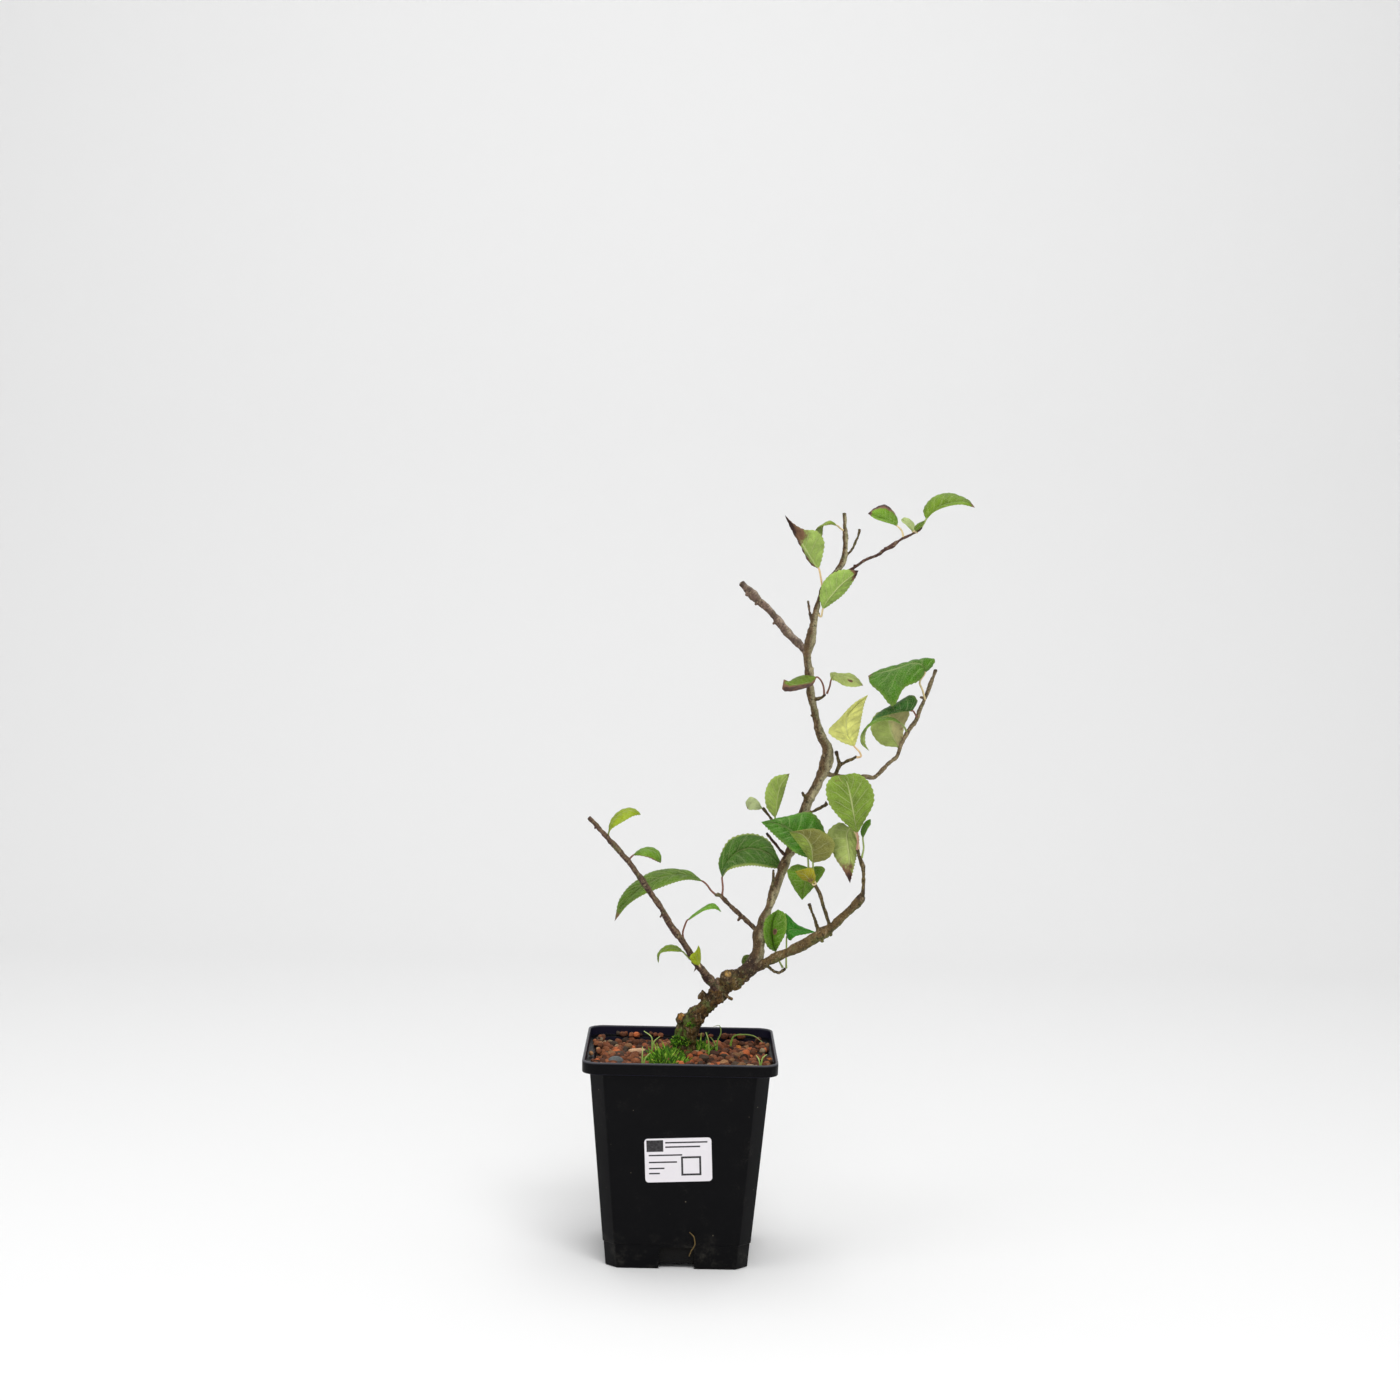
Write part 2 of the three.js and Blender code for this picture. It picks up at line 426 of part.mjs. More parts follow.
    left: [[71.4, 329.4, -13], [65.6, 327.2, -15], [58.8, 325.8, -14], [54.4, 326.6, -11]],
    right: [[71.2, 334.8, -4], [66, 335.2, -3], [60.8, 333.2, -4], [57.6, 331.2, -7]],
  },
  leaf_33: {
    tone: 'deep',
    stalk: [[80, 325, -1], [81.4, 328.8, -3]],
    rib: [[82.2, 332.8, -6], [83.8, 335.2, -7], [89, 334.8, -8], [94.8, 333, -8], [100.6, 330, -8]],
    left: [[81.8, 337, -1], [87.2, 336.4, 0], [93, 336.8, 1], [97.4, 334, -3]],
    right: [[85.6, 332, -12], [89.6, 329.8, -14], [95.4, 329, -13]],
  },
};

const LEAF_COLOURS = {
  deep: 0x46701c,
  green: 0x67883c,
  fresh: 0x9fb23f,
  olive: 0x74763a,
  pale: 0xa3b871,
  yellow: 0xdddc8c,
};

// Stems get a ring at least this often, and long leaves more teeth
const STEM_STEP = 11;
const LONG_RIB = 26;
const LONG_LEAF_TEETH = 6;
const SHORT_LEAF_TEETH = 4;

// Across the half blade: the middle column, how far it arches, and the margin's notches and teeth
const BLADE_MIDWAY = 0.55;
const BLADE_ARCH = 0.5;
const TOOTH_NOTCH = 0.96;
const TOOTH_TIP = 1.05;

// Moss patches on the soil: centre [x, y], reach [x, y] and the number of lumps
const MOSS = {
  moss_left: { centre: [-8.5, -12], reach: [11.5, 17], lumps: 14 },
  moss_right: { centre: [12, 19], reach: [4, 12], lumps: 6 },
};
const LUMP_RADIUS = [5, 6.6];
const LUMP_SQUASH = 0.55;
const LUMP_LIFT = 0.8;
const GOLDEN_ANGLE = THREE.MathUtils.degToRad(137.5);

// Grass blades, from the soil upwards: [x, y, z, radius]
const GRASS = {
  grass_left: [
    [[-16.5, 8, 111, 1.1], [-16.5, 8, 118, 0.8], [-17, 8, 122.5, 0.6], [-21.5, 10, 125.5, 0.35]],
    [[-16.5, 8, 111, 1.1], [-15.5, 8, 119.5, 0.7], [-12, 8, 123, 0.35]],
  ],
  grass_front: [
    [[-21.5, -31, 111, 1.1], [-21.5, -31, 119, 0.7], [-21.5, -30, 124.5, 0.35]],
    [[-21.5, -31, 111, 1.1], [-19.5, -31, 118.5, 0.6], [-17, -30, 121, 0.35]],
  ],
  grass_right: [
    [
      [21.5, 20, 111, 1.1], [21.5, 20, 118, 0.8], [23.5, 19, 123.5, 0.7],
      [22.5, 18, 128, 0.5], [19, 17, 127.5, 0.3],
    ],
    [[21.5, 20, 111, 1.1], [19.5, 19, 118, 0.7], [17.5, 18, 121, 0.35]],
  ],
  grass_centre: [
    [[16.5, 5, 111, 1.1], [16.5, 5, 118, 0.8], [16, 4, 122.5, 0.6], [14.5, 4.5, 126.5, 0.35]],
  ],
  grass_arc: [
    [
      [29, 32, 111, 1.2], [31.5, 32, 119, 0.9], [37, 30, 120.5, 0.9],
      [43, 25, 120.8, 0.8], [48, 16, 119, 0.4],
    ],
  ],
  grass_corner: [
    [[46, -32, 111, 1.1], [46.5, -32, 119.5, 0.7], [49, -31, 121.5, 0.35]],
    [[46, -32, 111, 1.1], [44.5, -31, 118.5, 0.6], [43, -29, 120.5, 0.35]],
  ],
};

// A dry root that curls out of the front drain slot: [x, y, z, radius]
const DRY_ROOT = [
  [7.2, -36, 7, 0.5], [7.2, -42, 8.2, 0.5], [8.5, -44.6, 12, 0.5], [10.3, -45.2, 16, 0.5],
  [9.4, -45, 20, 0.45], [7, -44.8, 22.5, 0.35],
];

// Stones and bark chips lying on the soil: centre [x, y], half size [x, y, z], turn in degrees
const LITTER = {
  pebble: { centre: [-37, -17], half: [4.4, 3.4, 2.9], turn: 12, colour: 0x7d8079 },
  bark_chip_long: { centre: [-25, 15], half: [5.4, 2.3, 1.7], turn: 8, colour: 0xc3a78a },
  bark_chip_short: { centre: [-32, -33], half: [3.2, 2, 1.5], turn: -14, colour: 0xbfa88f },
};
const LITTER_LIFT = 1.6;

const LEDGE = POT_HEIGHT - RIM_HEIGHT + WALL;
const BED_TOP = POT_HEIGHT + 20;

// Geometry helpers

function seededRandom(seed) {
  let state = seed;
  return () => {
    state = (state * 1664525 + 1013904223) % 4294967296;
    return state / 4294967296;
  };
}

function seen([x, z, y]) {
  const reach = (y - EYE.y) / -EYE.y;
  return new THREE.Vector3(EYE.x + (x - EYE.x) * reach, y, EYE.z + (z - EYE.z) * reach);
}

const seenRoute = (route) => route.map((knot) => ({ spot: seen(knot), radius: knot[3] }));

const trueRoute = (route) => route.map(([x, y, z, radius]) => ({ spot: new THREE.Vector3(x, y, z), radius }));

function surface(points, faces) {
  const geometry = new THREE.BufferGeometry().setFromPoints(points);
  geometry.setIndex(faces.flat());
  return geometry;
}

function solidOf(geometry) {
  const bare = new THREE.BufferGeometry();
  bare.setAttribute('position', geometry.getAttribute('position'));
  bare.setIndex(geometry.getIndex());
  const merged = mergeVertices(bare, 1e-4);
  return new Manifold(new SolidMesh({
    numProp: 3,
    vertProperties: new Float32Array(merged.getAttribute('position').array),
    triVerts: new Uint32Array(merged.getIndex().array),
  }));
}

// Keeps the largest body of a solid and drops loose scraps
function mainBody(solid) {
  const bodies = solid.decompose();
  return bodies.reduce((best, body) => (body.volume() > best.volume() ? body : best));
}

function joined(solids) {
  return solids.reduce((whole, solid) => whole.add(solid));
}

function pieceOf(name, solid, colour, roughness) {
  const { vertProperties, triVerts } = solid.getMesh();
  const geometry = new THREE.BufferGeometry();
  geometry.setAttribute('position', new THREE.BufferAttribute(new Float32Array(vertProperties), 3));
  geometry.setIndex(Array.from(triVerts));
  geometry.computeVertexNormals();
  const material = new THREE.MeshStandardMaterial({ color: colour, roughness, metalness: 0 });
  const mesh = new THREE.Mesh(geometry, material);
  mesh.name = name;
  return mesh;
}

// Skins a stack of rings with equal point counts, running anticlockwise about the stack's axis
function loft(rings) {
  const count = rings[0].length;
  const points = rings.flat();
  const faces = [];
  for (let i = 0; i + 1 < rings.length; i += 1) {
    for (let j = 0; j < count; j += 1) {
      const a = i * count + j;
      const b = i * count + ((j + 1) % count);
      faces.push([a, b, b + count], [a, b + count, a + count]);
    }
  }
  const ends = [[0, true], [rings.length - 1, false]];
  for (const [row, first] of ends) {
    const centre = new THREE.Vector3();
    rings[row].forEach((point) => centre.addScaledVector(point, 1 / count));
    const middle = points.push(centre) - 1;
    for (let j = 0; j < count; j += 1) {
      const a = row * count + j;
      const b = row * count + ((j + 1) % count);
      faces.push(first ? [middle, b, a] : [middle, a, b]);
    }
  }
  return surface(points, faces);
}

function chamferedSquare(width, chamfer, z) {
  const h = width / 2;
  const c = h - chamfer;
  const corners = [[h, -c], [h, c], [c, h], [-c, h], [-h, c], [-h, -c], [-c, -h], [c, -h]];
  return corners.map(([x, y]) => new THREE.Vector3(x, y, z));
}

function roundedSquare(width, radius, z) {
  const steps = 4;
  const inset = width / 2 - radius;
  const ring = [];
  for (let corner = 0; corner < 4; corner += 1) {
    for (let step = 0; step <= steps; step += 1) {
      const angle = (corner + step / steps) * (Math.PI / 2);
      const cx = inset * (corner === 0 || corner === 3 ? 1 : -1);
      const cy = inset * (corner < 2 ? 1 : -1);
      ring.push(new THREE.Vector3(cx + radius * Math.cos(angle), cy + radius * Math.sin(angle), z));
    }
  }
  return ring;
}

// A round stem along a route of spots and radii, widened by grow all round
function stem(route, sides, grow = 0) {
  const spots = route.map((knot) => knot.spot);
  const curve = new THREE.CatmullRomCurve3(spots, false, 'centripetal');
  const rings = [];
  const spans = route.length - 1;
  const addRing = (t) => {
    const span = Math.min(Math.floor(t * spans), spans - 1);
    const part = t * spans - span;
    const radius = THREE.MathUtils.lerp(route[span].radius, route[span + 1].radius, part) + grow;
    const along = curve.getTangent(t);
    const across = new THREE.Vector3(0, 1, 0).cross(along).normalize();
    const upward = along.clone().cross(across);
    const centre = curve.getPoint(t);
    if (t === 0) centre.addScaledVector(along, -grow);
    if (t === 1) centre.addScaledVector(along, grow);
    rings.push(Array.from({ length: sides }, (_, k) => {
      const angle = (k / sides) * 2 * Math.PI;
      return centre.clone()
        .addScaledVector(across, radius * Math.cos(angle))
        .addScaledVector(upward, radius * Math.sin(angle));
    }));
  };
  addRing(0);
  for (let span = 0; span < spans; span += 1) {
    const length = spots[span].distanceTo(spots[span + 1]);
    const steps = Math.max(1, Math.round(length / STEM_STEP));
    for (let step = 1; step <= steps; step += 1) addRing((span + step / steps) / spans);
  }
  return solidOf(loft(rings));
}

// Pot

function bodyRing(z, inset = 0) {
  const rise = z / (POT_HEIGHT - RIM_HEIGHT);
  const width = THREE.MathUtils.lerp(BODY_BOTTOM, BODY_TOP, rise) - 2 * inset;
  const chamfer = THREE.MathUtils.lerp(CHAMFER_BOTTOM, CHAMFER_TOP, rise) - inset * (2 - Math.SQRT2);
  return chamferedSquare(width, chamfer, z);
}

// The space between the walls from the floor up to a height, drawn in all round by inset
function betweenWalls(height, inset) {
  return solidOf(loft([bodyRing(FLOOR + inset, WALL + inset), bodyRing(height, WALL + inset)]));
}

// The space inside the pot: between the walls, and wider within the rim
function potInside() {
  const width = RIM_WIDTH - 2 * WALL;
  const radius = RIM_RADIUS - WALL;
  const withinRim = solidOf(loft([
    roundedSquare(width, radius, LEDGE),
    roundedSquare(width, radius, POT_HEIGHT + 2),
  ]));
  return betweenWalls(LEDGE + 1, 0).add(withinRim);
}

function drainSlots() {
  const half = SLOT_WIDTH / 2;
  const arch = new THREE.Shape();
  arch.moveTo(-half, FLOOR);
  arch.lineTo(half, FLOOR);
  arch.lineTo(half, SLOT_TOP - SLOT_CORNER);
  arch.lineTo(half - SLOT_CORNER, SLOT_TOP);
  arch.lineTo(-half + SLOT_CORNER, SLOT_TOP);
  arch.lineTo(-half, SLOT_TOP - SLOT_CORNER);
  const length = RIM_WIDTH;
  const bar = new THREE.ExtrudeGeometry(arch, { depth: length, bevelEnabled: false });
  bar.translate(0, 0, -length / 2).rotateX(Math.PI / 2);
  const across = bar.clone().rotateZ(Math.PI / 2);
  return solidOf(bar).add(solidOf(across));
}

function makePot() {
  const shelf = POT_HEIGHT - RIM_HEIGHT;
  const body = solidOf(loft([
    bodyRing(0, FOOT_STEP + EDGE),
    bodyRing(EDGE, FOOT_STEP),
    bodyRing(FOOT_HEIGHT - EDGE, FOOT_STEP),
    bodyRing(FOOT_HEIGHT, 0),
    bodyRing(shelf + WALL / 2, 0),
  ]));
  const rim = solidOf(loft([
    roundedSquare(RIM_WIDTH - 2 * EDGE, RIM_RADIUS - EDGE, shelf),
    roundedSquare(RIM_WIDTH, RIM_RADIUS, shelf + EDGE),
    roundedSquare(RIM_WIDTH, RIM_RADIUS, POT_HEIGHT - EDGE),
    roundedSquare(RIM_WIDTH - 2 * EDGE, RIM_RADIUS - EDGE, POT_HEIGHT),
  ]));
  return body.add(rim).subtract(potInside()).subtract(drainSlots());
}

// The label lies on the sloping front face
function makeLabel() {
  const w = LABEL_WIDTH / 2;
  const h = LABEL_HEIGHT / 2;
  const r = LABEL_RADIUS;
  const outline = new THREE.Shape();
  outline.moveTo(-w + r, -h);
  outline.lineTo(w - r, -h);
  outline.absarc(w - r, -h + r, r, -Math.PI / 2, 0);
  outline.lineTo(w, h - r);
  outline.absarc(w - r, h - r, r, 0, Math.PI / 2);
  outline.lineTo(-w + r, h);
  outline.absarc(-w + r, h - r, r, Math.PI / 2, Math.PI);
  outline.lineTo(-w, -h + r);
  outline.absarc(-w + r, -h + r, r, Math.PI, Math.PI * 1.5);
  const slope = Math.atan((BODY_TOP - BODY_BOTTOM) / 2 / (POT_HEIGHT - RIM_HEIGHT));
  const face = bodyRing(LABEL_CENTRE)[0].x;
  const sticker = new THREE.ExtrudeGeometry(outline, {
    depth: LABEL_THICKNESS, bevelEnabled: false, curveSegments: 3,
  });
  sticker.rotateZ(LABEL_TURN).translate(0, 0, GAP).rotateX(Math.PI / 2 + slope);
  sticker.translate(0, -face, LABEL_CENTRE);
  return solidOf(sticker);
}

// Wood

function tubeSides(radius) {
  if (radius > 4) return 9;
  return radius > 1.8 ? 6 : 5;
}

function makeWood(grow) {
  const stems = Object.values(WOOD).map((route) => {
    const thickest = Math.max(...route.map((point) => point[3]));
    return stem(seenRoute(route), tubeSides(thickest), grow);
  });
  const buds = BUDS.map((route) => stem(seenRoute(route), 4, grow));
  const roots = ROOTS.map((route) => stem(trueRoute(route), 6, grow));
  return joined([...stems, ...buds, ...roots]);
}

// Leaves

// A blade's middle surface: the rib, a column between rib and margin, and a toothed margin
function bladeSurface(leaf, rows) {
  const curve = (route) => new THREE.CatmullRomCurve3(route.map(seen), false, 'centripetal');
  const rib = curve(leaf.rib);
  const ends = [leaf.rib[0], leaf.rib[leaf.rib.length - 1]];
  const points = [];
  const faces = [];
  const index = new Map();
  for (const [turn, side] of [[1, leaf.left], [-1, leaf.right]]) {
    const margin = curve([ends[0], ...side, ends[1]]);
    const pointAt = (row, share) => {
      const onRib = share === 0 || row === 0 || row === rows;
      const key = onRib ? `${row}` : `${row} ${share} ${turn}`;
      if (!index.has(key)) {
        const spot = rib.getPointAt(row / rows);
        const reach = margin.getPointAt(row / rows).sub(spot);
        const lift = rib.getTangentAt(row / rows).cross(reach).multiplyScalar(turn * BLADE_ARCH);
        if (!onRib) spot.addScaledVector(reach, share).addScaledVector(lift, share * (1 - share));
        index.set(key, points.push(spot) - 1);
      }
      return index.get(key);
    };
    for (let row = 0; row < rows; row += 1) {
      const [rib0, rib1] = [pointAt(row, 0), pointAt(row + 1, 0)];
      const [mid0, mid1] = [pointAt(row, BLADE_MIDWAY), pointAt(row + 1, BLADE_MIDWAY)];
      const [notch0, notch1] = [pointAt(row, TOOTH_NOTCH), pointAt(row + 1, TOOTH_NOTCH)];
      const tooth = pointAt(row + 0.5, TOOTH_TIP);
      const quads = [
        [rib0, rib1, mid0], [rib1, mid1, mid0],
        [mid0, mid1, tooth], [mid0, tooth, notch0], [mid1, notch1, tooth],
      ];
      quads.filter((corners) => new Set(corners).size === 3)
        .forEach((corners) => faces.push(turn > 0 ? corners : corners.reverse()));
    }
  }
  return surface(points, faces);
}

// Gives a surface its thickness, with alike faces on both sides and a wall round the margin
function thickened(sheet, thickness) {
  sheet.computeVertexNormals();
  const position = sheet.getAttribute('position');
  const normal = sheet.getAttribute('normal');
  const count = position.count;
  const sides = [1, -1].map((way) => Array.from({ length: count }, (_, i) => {
    const offset = new THREE.Vector3().fromBufferAttribute(normal, i).multiplyScalar(way * thickness / 2);
    return new THREE.Vector3().fromBufferAttribute(position, i).add(offset);
  }));
  const corners = Array.from(sheet.getIndex().array);
  const faces = [];
  const open = new Map();
  for (let i = 0; i < corners.length; i += 3) {
    const [a, b, c] = corners.slice(i, i + 3);
    faces.push([a, b, c], [count + a, count + c, count + b]);
    for (const [from, to] of [[a, b], [b, c], [c, a]]) {
      if (!open.delete(`${to} ${from}`)) open.set(`${from} ${to}`, [from, to]);
    }
  }
  for (const [from, to] of open.values()) {
    faces.push([from, count + from, count + to], [from, count + to, to]);
  }
  return surface(sides.flat(), faces);
}

function makeLeaf(leaf, woodRoom) {
  const ribLength = new THREE.CatmullRomCurve3(leaf.rib.map(seen)).getLength();
  const rows = ribLength > LONG_RIB ? LONG_LEAF_TEETH : SHORT_LEAF_TEETH;
  const blade = solidOf(thickened(bladeSurface(leaf, rows), BLADE_THICKNESS));
  const [foot, second] = leaf.rib;
  const sunk = foot.map((value, i) => THREE.MathUtils.lerp(value, second[i], STALK_OVERLAP));
  const route = [...leaf.stalk, foot, sunk].map((point) => [...point, STALK_RADIUS]);
  const stalk = stem(seenRoute(route), 4);
  return mainBody(blade.add(stalk).subtract(woodRoom));
}

// Soil, moss, grass and litter

function heapHeight(x, y) {
  const distance = TRUNK_FOOT.distanceTo(new THREE.Vector2(x, y));
  return SOIL_LEVEL + SOIL_HEAP * Math.exp(-((distance / HEAP_REACH) ** 2) / 2);
}

// The air over the soil, whose underside is a bed of grains with one peak in each cell
function airOverSoil() {
  const random = seededRandom(7);
  const shift = () => (random() - 0.5) * 2 * GRAIN_SHIFT;
  const cells = Math.ceil((RIM_WIDTH + 4) / GRAIN_CELL);
  const start = (-cells * GRAIN_CELL) / 2;
  const points = [];
  const faces = [];
  for (let i = 0; i <= cells; i += 1) {
    for (let j = 0; j <= cells; j += 1) {
      const x = start + i * GRAIN_CELL + shift();
      const y = start + j * GRAIN_CELL + shift();
      points.push(new THREE.Vector3(x, y, heapHeight(x, y) - GRAIN_HOLLOW));
    }
  }
  const row = cells + 1;
  for (let i = 0; i < cells; i += 1) {
    for (let j = 0; j < cells; j += 1) {
      const x = start + (i + 0.5) * GRAIN_CELL + shift();
      const y = start + (j + 0.5) * GRAIN_CELL + shift();
      const peak = heapHeight(x, y) + GRAIN_RISE * (0.5 + 0.6 * random());
      const top = points.push(new THREE.Vector3(x, y, peak)) - 1;
      const loop = [i * row + j, (i + 1) * row + j, (i + 1) * row + j + 1, i * row + j + 1];
      loop.forEach((corner, k) => faces.push([top, loop[(k + 1) % 4], corner]));
    }
  }
  const border = [];
  for (let j = 0; j < cells; j += 1) border.push(j);
  for (let i = 0; i < cells; i += 1) border.push(i * row + cells);
  for (let j = cells; j > 0; j -= 1) border.push(cells * row + j);
  for (let i = cells; i > 0; i -= 1) border.push(i * row);
  const lid = points.push(new THREE.Vector3(0, 0, BED_TOP)) - 1;
  const upper = border.map((corner) => points.push(points[corner].clone().setZ(BED_TOP)) - 1);
  border.forEach((corner, k) => {
    const next = (k + 1) % border.length;
    faces.push([border[next], corner, upper[k]], [border[next], upper[k], upper[next]]);
    faces.push([upper[next], upper[k], lid]);
  });
  return solidOf(surface(points, faces));
}

// Lumps, each a squashed and turned icosahedron, spread over a patch in a sunflower's spiral
function makeMoss({ centre, reach, lumps }, grow) {
  const random = seededRandom(21);
  return joined(Array.from({ length: lumps }, (_, k) => {
    const angle = k * GOLDEN_ANGLE;
    const out = Math.sqrt((k + 0.5) / lumps);
    const x = centre[0] + reach[0] * out * Math.cos(angle);
    const y = centre[1] + reach[1] * out * Math.sin(angle);
    const radius = THREE.MathUtils.lerp(...LUMP_RADIUS, random()) + grow;
    const turn = Math.PI * random();
    const shape = new THREE.IcosahedronGeometry(radius, 0);
    shape.rotateX(turn).rotateZ(2 * turn).scale(1, 1, LUMP_SQUASH);
    shape.translate(x, y, heapHeight(x, y) + LUMP_LIFT);
    return solidOf(shape);
  }));
}

function makeTuft(blades, grow) {
  return joined(blades.map((route) => stem(trueRoute(route), 4, grow)));
}

function makeLitter({ centre, half, turn }, grow) {
  const shape = new THREE.IcosahedronGeometry(1, 0);
  shape.scale(half[0] + grow, half[1] + grow, half[2] + grow);
  shape.rotateZ(THREE.MathUtils.degToRad(turn));
  shape.translate(...centre, heapHeight(...centre) + LITTER_LIFT);
  return solidOf(shape);
}

// Assembly: what lies over a piece leaves it room

const mosses = Object.entries(MOSS);
const tufts = Object.entries(GRASS);
const litter = Object.entries(LITTER);

const wood = makeWood(0);
const woodRoom = makeWood(GAP);
const mossRoom = woodRoom.add(joined(tufts.map(([, blades]) => makeTuft(blades, GAP))));
const soilRoom = joined([
  mossRoom,
  stem(trueRoute(DRY_ROOT), 5, GAP),
  ...mosses.map(([, patch]) => makeMoss(patch, GAP)),
  ...litter.map(([, item]) => makeLitter(item, GAP)),
]);
const soilBlock = betweenWalls(POT_HEIGHT, GAP);
const soil = mainBody(soilBlock.subtract(airOverSoil()).subtract(soilRoom));

const bonsai = new THREE.Group();
bonsai.add(pieceOf('pot', makePot(), 0x141315, 0.42));
bonsai.add(pieceOf('label', makeLabel(), 0xe4e0e4, 0.5));
bonsai.add(pieceOf('soil', soil, 0x5c3c26, 0.95));
bonsai.add(pieceOf('dry_root', stem(trueRoute(DRY_ROOT), 5), 0xa8956a, 0.8));
for (const [name, patch] of mosses) {
  bonsai.add(pieceOf(name, mainBody(makeMoss(patch, 0).subtract(mossRoom)), 0x4d7a1e, 0.9));
}
for (const [name, blades] of tufts) {
  bonsai.add(pieceOf(name, makeTuft(blades, 0), 0x6fa82e, 0.6));
}
for (const [name, item] of litter) {
  bonsai.add(pieceOf(name, makeLitter(item, 0), item.colour, 0.8));
}
bonsai.add(pieceOf('wood', wood, 0x5f5334, 0.85));
for (const [name, leaf] of Object.entries(LEAVES)) {
  bonsai.add(pieceOf(name, makeLeaf(leaf, woodRoom), LEAF_COLOURS[leaf.tone], 0.45));
}

export default bonsai;
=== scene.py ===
"""Looks of a Japanese winterberry trained as a bonsai, in its square black nursery pot."""
import math

import bpy
import numpy as np
from bpy.props import FloatProperty, FloatVectorProperty, IntProperty, PointerProperty
from mathutils import Matrix, Vector


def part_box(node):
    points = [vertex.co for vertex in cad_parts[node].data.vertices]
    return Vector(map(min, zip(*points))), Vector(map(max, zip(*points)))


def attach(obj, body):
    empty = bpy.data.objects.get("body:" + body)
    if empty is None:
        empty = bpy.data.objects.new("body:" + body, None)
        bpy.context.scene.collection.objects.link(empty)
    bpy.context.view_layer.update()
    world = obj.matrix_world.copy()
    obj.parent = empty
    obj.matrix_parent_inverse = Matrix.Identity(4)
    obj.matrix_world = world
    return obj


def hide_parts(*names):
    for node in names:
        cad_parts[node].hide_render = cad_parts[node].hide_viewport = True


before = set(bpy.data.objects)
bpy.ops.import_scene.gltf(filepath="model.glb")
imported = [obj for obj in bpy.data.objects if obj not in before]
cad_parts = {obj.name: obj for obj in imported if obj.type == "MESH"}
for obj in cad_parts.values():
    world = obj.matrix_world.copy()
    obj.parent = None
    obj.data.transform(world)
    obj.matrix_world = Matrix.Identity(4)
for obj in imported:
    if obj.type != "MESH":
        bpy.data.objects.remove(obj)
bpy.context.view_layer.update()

bl_info = {
    "name": "Winterberry Bonsai",
    "version": (1, 0, 0),
    "blender": (4, 5, 0),
    "location": "3D View > Sidebar > Bonsai",
    "description": "Builds a potted winterberry bonsai on its packed frame",
    "category": "Add Mesh",
}

MM = 0.001
POT_LOW, POT_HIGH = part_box("pot")

# The pot, in millimetres. Its body's cross-section is a square with cut corners.
POT_HEIGHT = (POT_HIGH.z - POT_LOW.z) / MM
RIM_HALF = (POT_HIGH.x - POT_LOW.x) / MM / 2
RIM_HEIGHT = 7
RIM_RADIUS = 9
SHELF = POT_HEIGHT - RIM_HEIGHT
BODY_TOP = 101.5
BODY_BOTTOM = 81.5
CHAMFER_TOP = 7.8
CHAMFER_BOTTOM = 6.7
CHAMFER_ARC = 1.5
RING_POINTS = 48
FLOOR = 2.4
FOOT_HEIGHT = 14
FOOT_STEP = 0.5
SLOT_WIDTH = 20
SLOT_TOP = 12.5
SLOT_CORNER = 2.5
BAR_REACH = 60
BAR_LOW = -5
# How far below its top the painted highlight along the rim's edge reaches, and how far up the lime
# reaches, both from faint to full
RIM_HIGHLIGHT = (1.2, 0.2)
LIME = (4, 30)

# The label: its size, its corners' radius, the height of its middle, its turn and how deep it sits
LABEL_WIDTH = 37.6
LABEL_HEIGHT = 25.4
LABEL_RADIUS = 2
LABEL_CENTRE = 64
LABEL_TURN = math.radians(2.5)
LABEL_SEAT = 0.3
LABEL_CURL = 0.12
# Its print as (left, right, bottom, top) shares of it: a block, ruled lines, and a box with its inside
LABEL_BLOCK = (0.03, 0.28, 0.7, 0.965)
LABEL_RULES = [
    (0.31, 0.94, 0.885, 0.92), (0.31, 0.83, 0.785, 0.82), (0.06, 0.56, 0.6, 0.634),
    (0.06, 0.48, 0.44, 0.474), (0.06, 0.29, 0.3, 0.334), (0.06, 0.22, 0.185, 0.219),
]
LABEL_BOX = ((0.54, 0.84, 0.14, 0.58), (0.57, 0.81, 0.185, 0.535))

# The soil's level, how far its bed lies below that, and its heap round the trunk
SOIL_LEVEL = 113.8
BED_DEPTH = 2.6
SOIL_HEAP = 3.2
HEAP_REACH = 26
TRUNK_FOOT = (2, 9)
# The bed's lattice, its distance from the walls, at the floor and above it, and its screen values, which
# are painted shade: dark brown between the grains and nearly black at the floor inside the pot
BED_LINES = 70
BED_GAP = 0.4
BED_LOW_GAP = 0.9
BED_LIFT = 0.5
BED_SHADE_TONES = ((38, 30, 22), (3, 3, 3))
# The grains: seed, smallest and largest radius, spread of sizes, and the radii of special ones
SOIL_SEED = 11
GRAIN_RADII = (0.9, 3.0)
GRAIN_SPREAD = 0.32
ORANGE_RADIUS = 2.3
LEDGE_RADIUS = 1.9
# Screen values and their shares, and where the orange grains lie
SOIL_TONES = [
    ((66, 42, 30), 0.15), ((92, 56, 38), 0.22), ((122, 72, 46), 0.24), ((138, 84, 54), 0.16),
    ((146, 106, 72), 0.08), ((74, 60, 48), 0.04), ((184, 100, 58), 0.09), ((164, 144, 112), 0.02),
]
ORANGE_GRAINS = [(26, -15.5), (34.5, 28.5), (43, 20), (51, -21.6), (8.3, -31), (17.4, -27.4)]
ORANGE = (186, 112, 44)

# Moss cushions: middle, reach, number of shoots, seed, and their length as a share of the setting
MOSS_PATCHES = {
    "moss_left": ((-8.5, -12), (11.5, 17), 2200, 9, 1),
    "moss_right": ((12, 19), (4, 12), 620, 10, 1.5),
}
MOSS_TONES = [((72, 116, 24), 0.35), ((108, 156, 38), 0.3), ((46, 82, 18), 0.22), ((146, 174, 64), 0.13)]
MOSS_GROUND = (34, 52, 14)
MOSS_SINK = 5
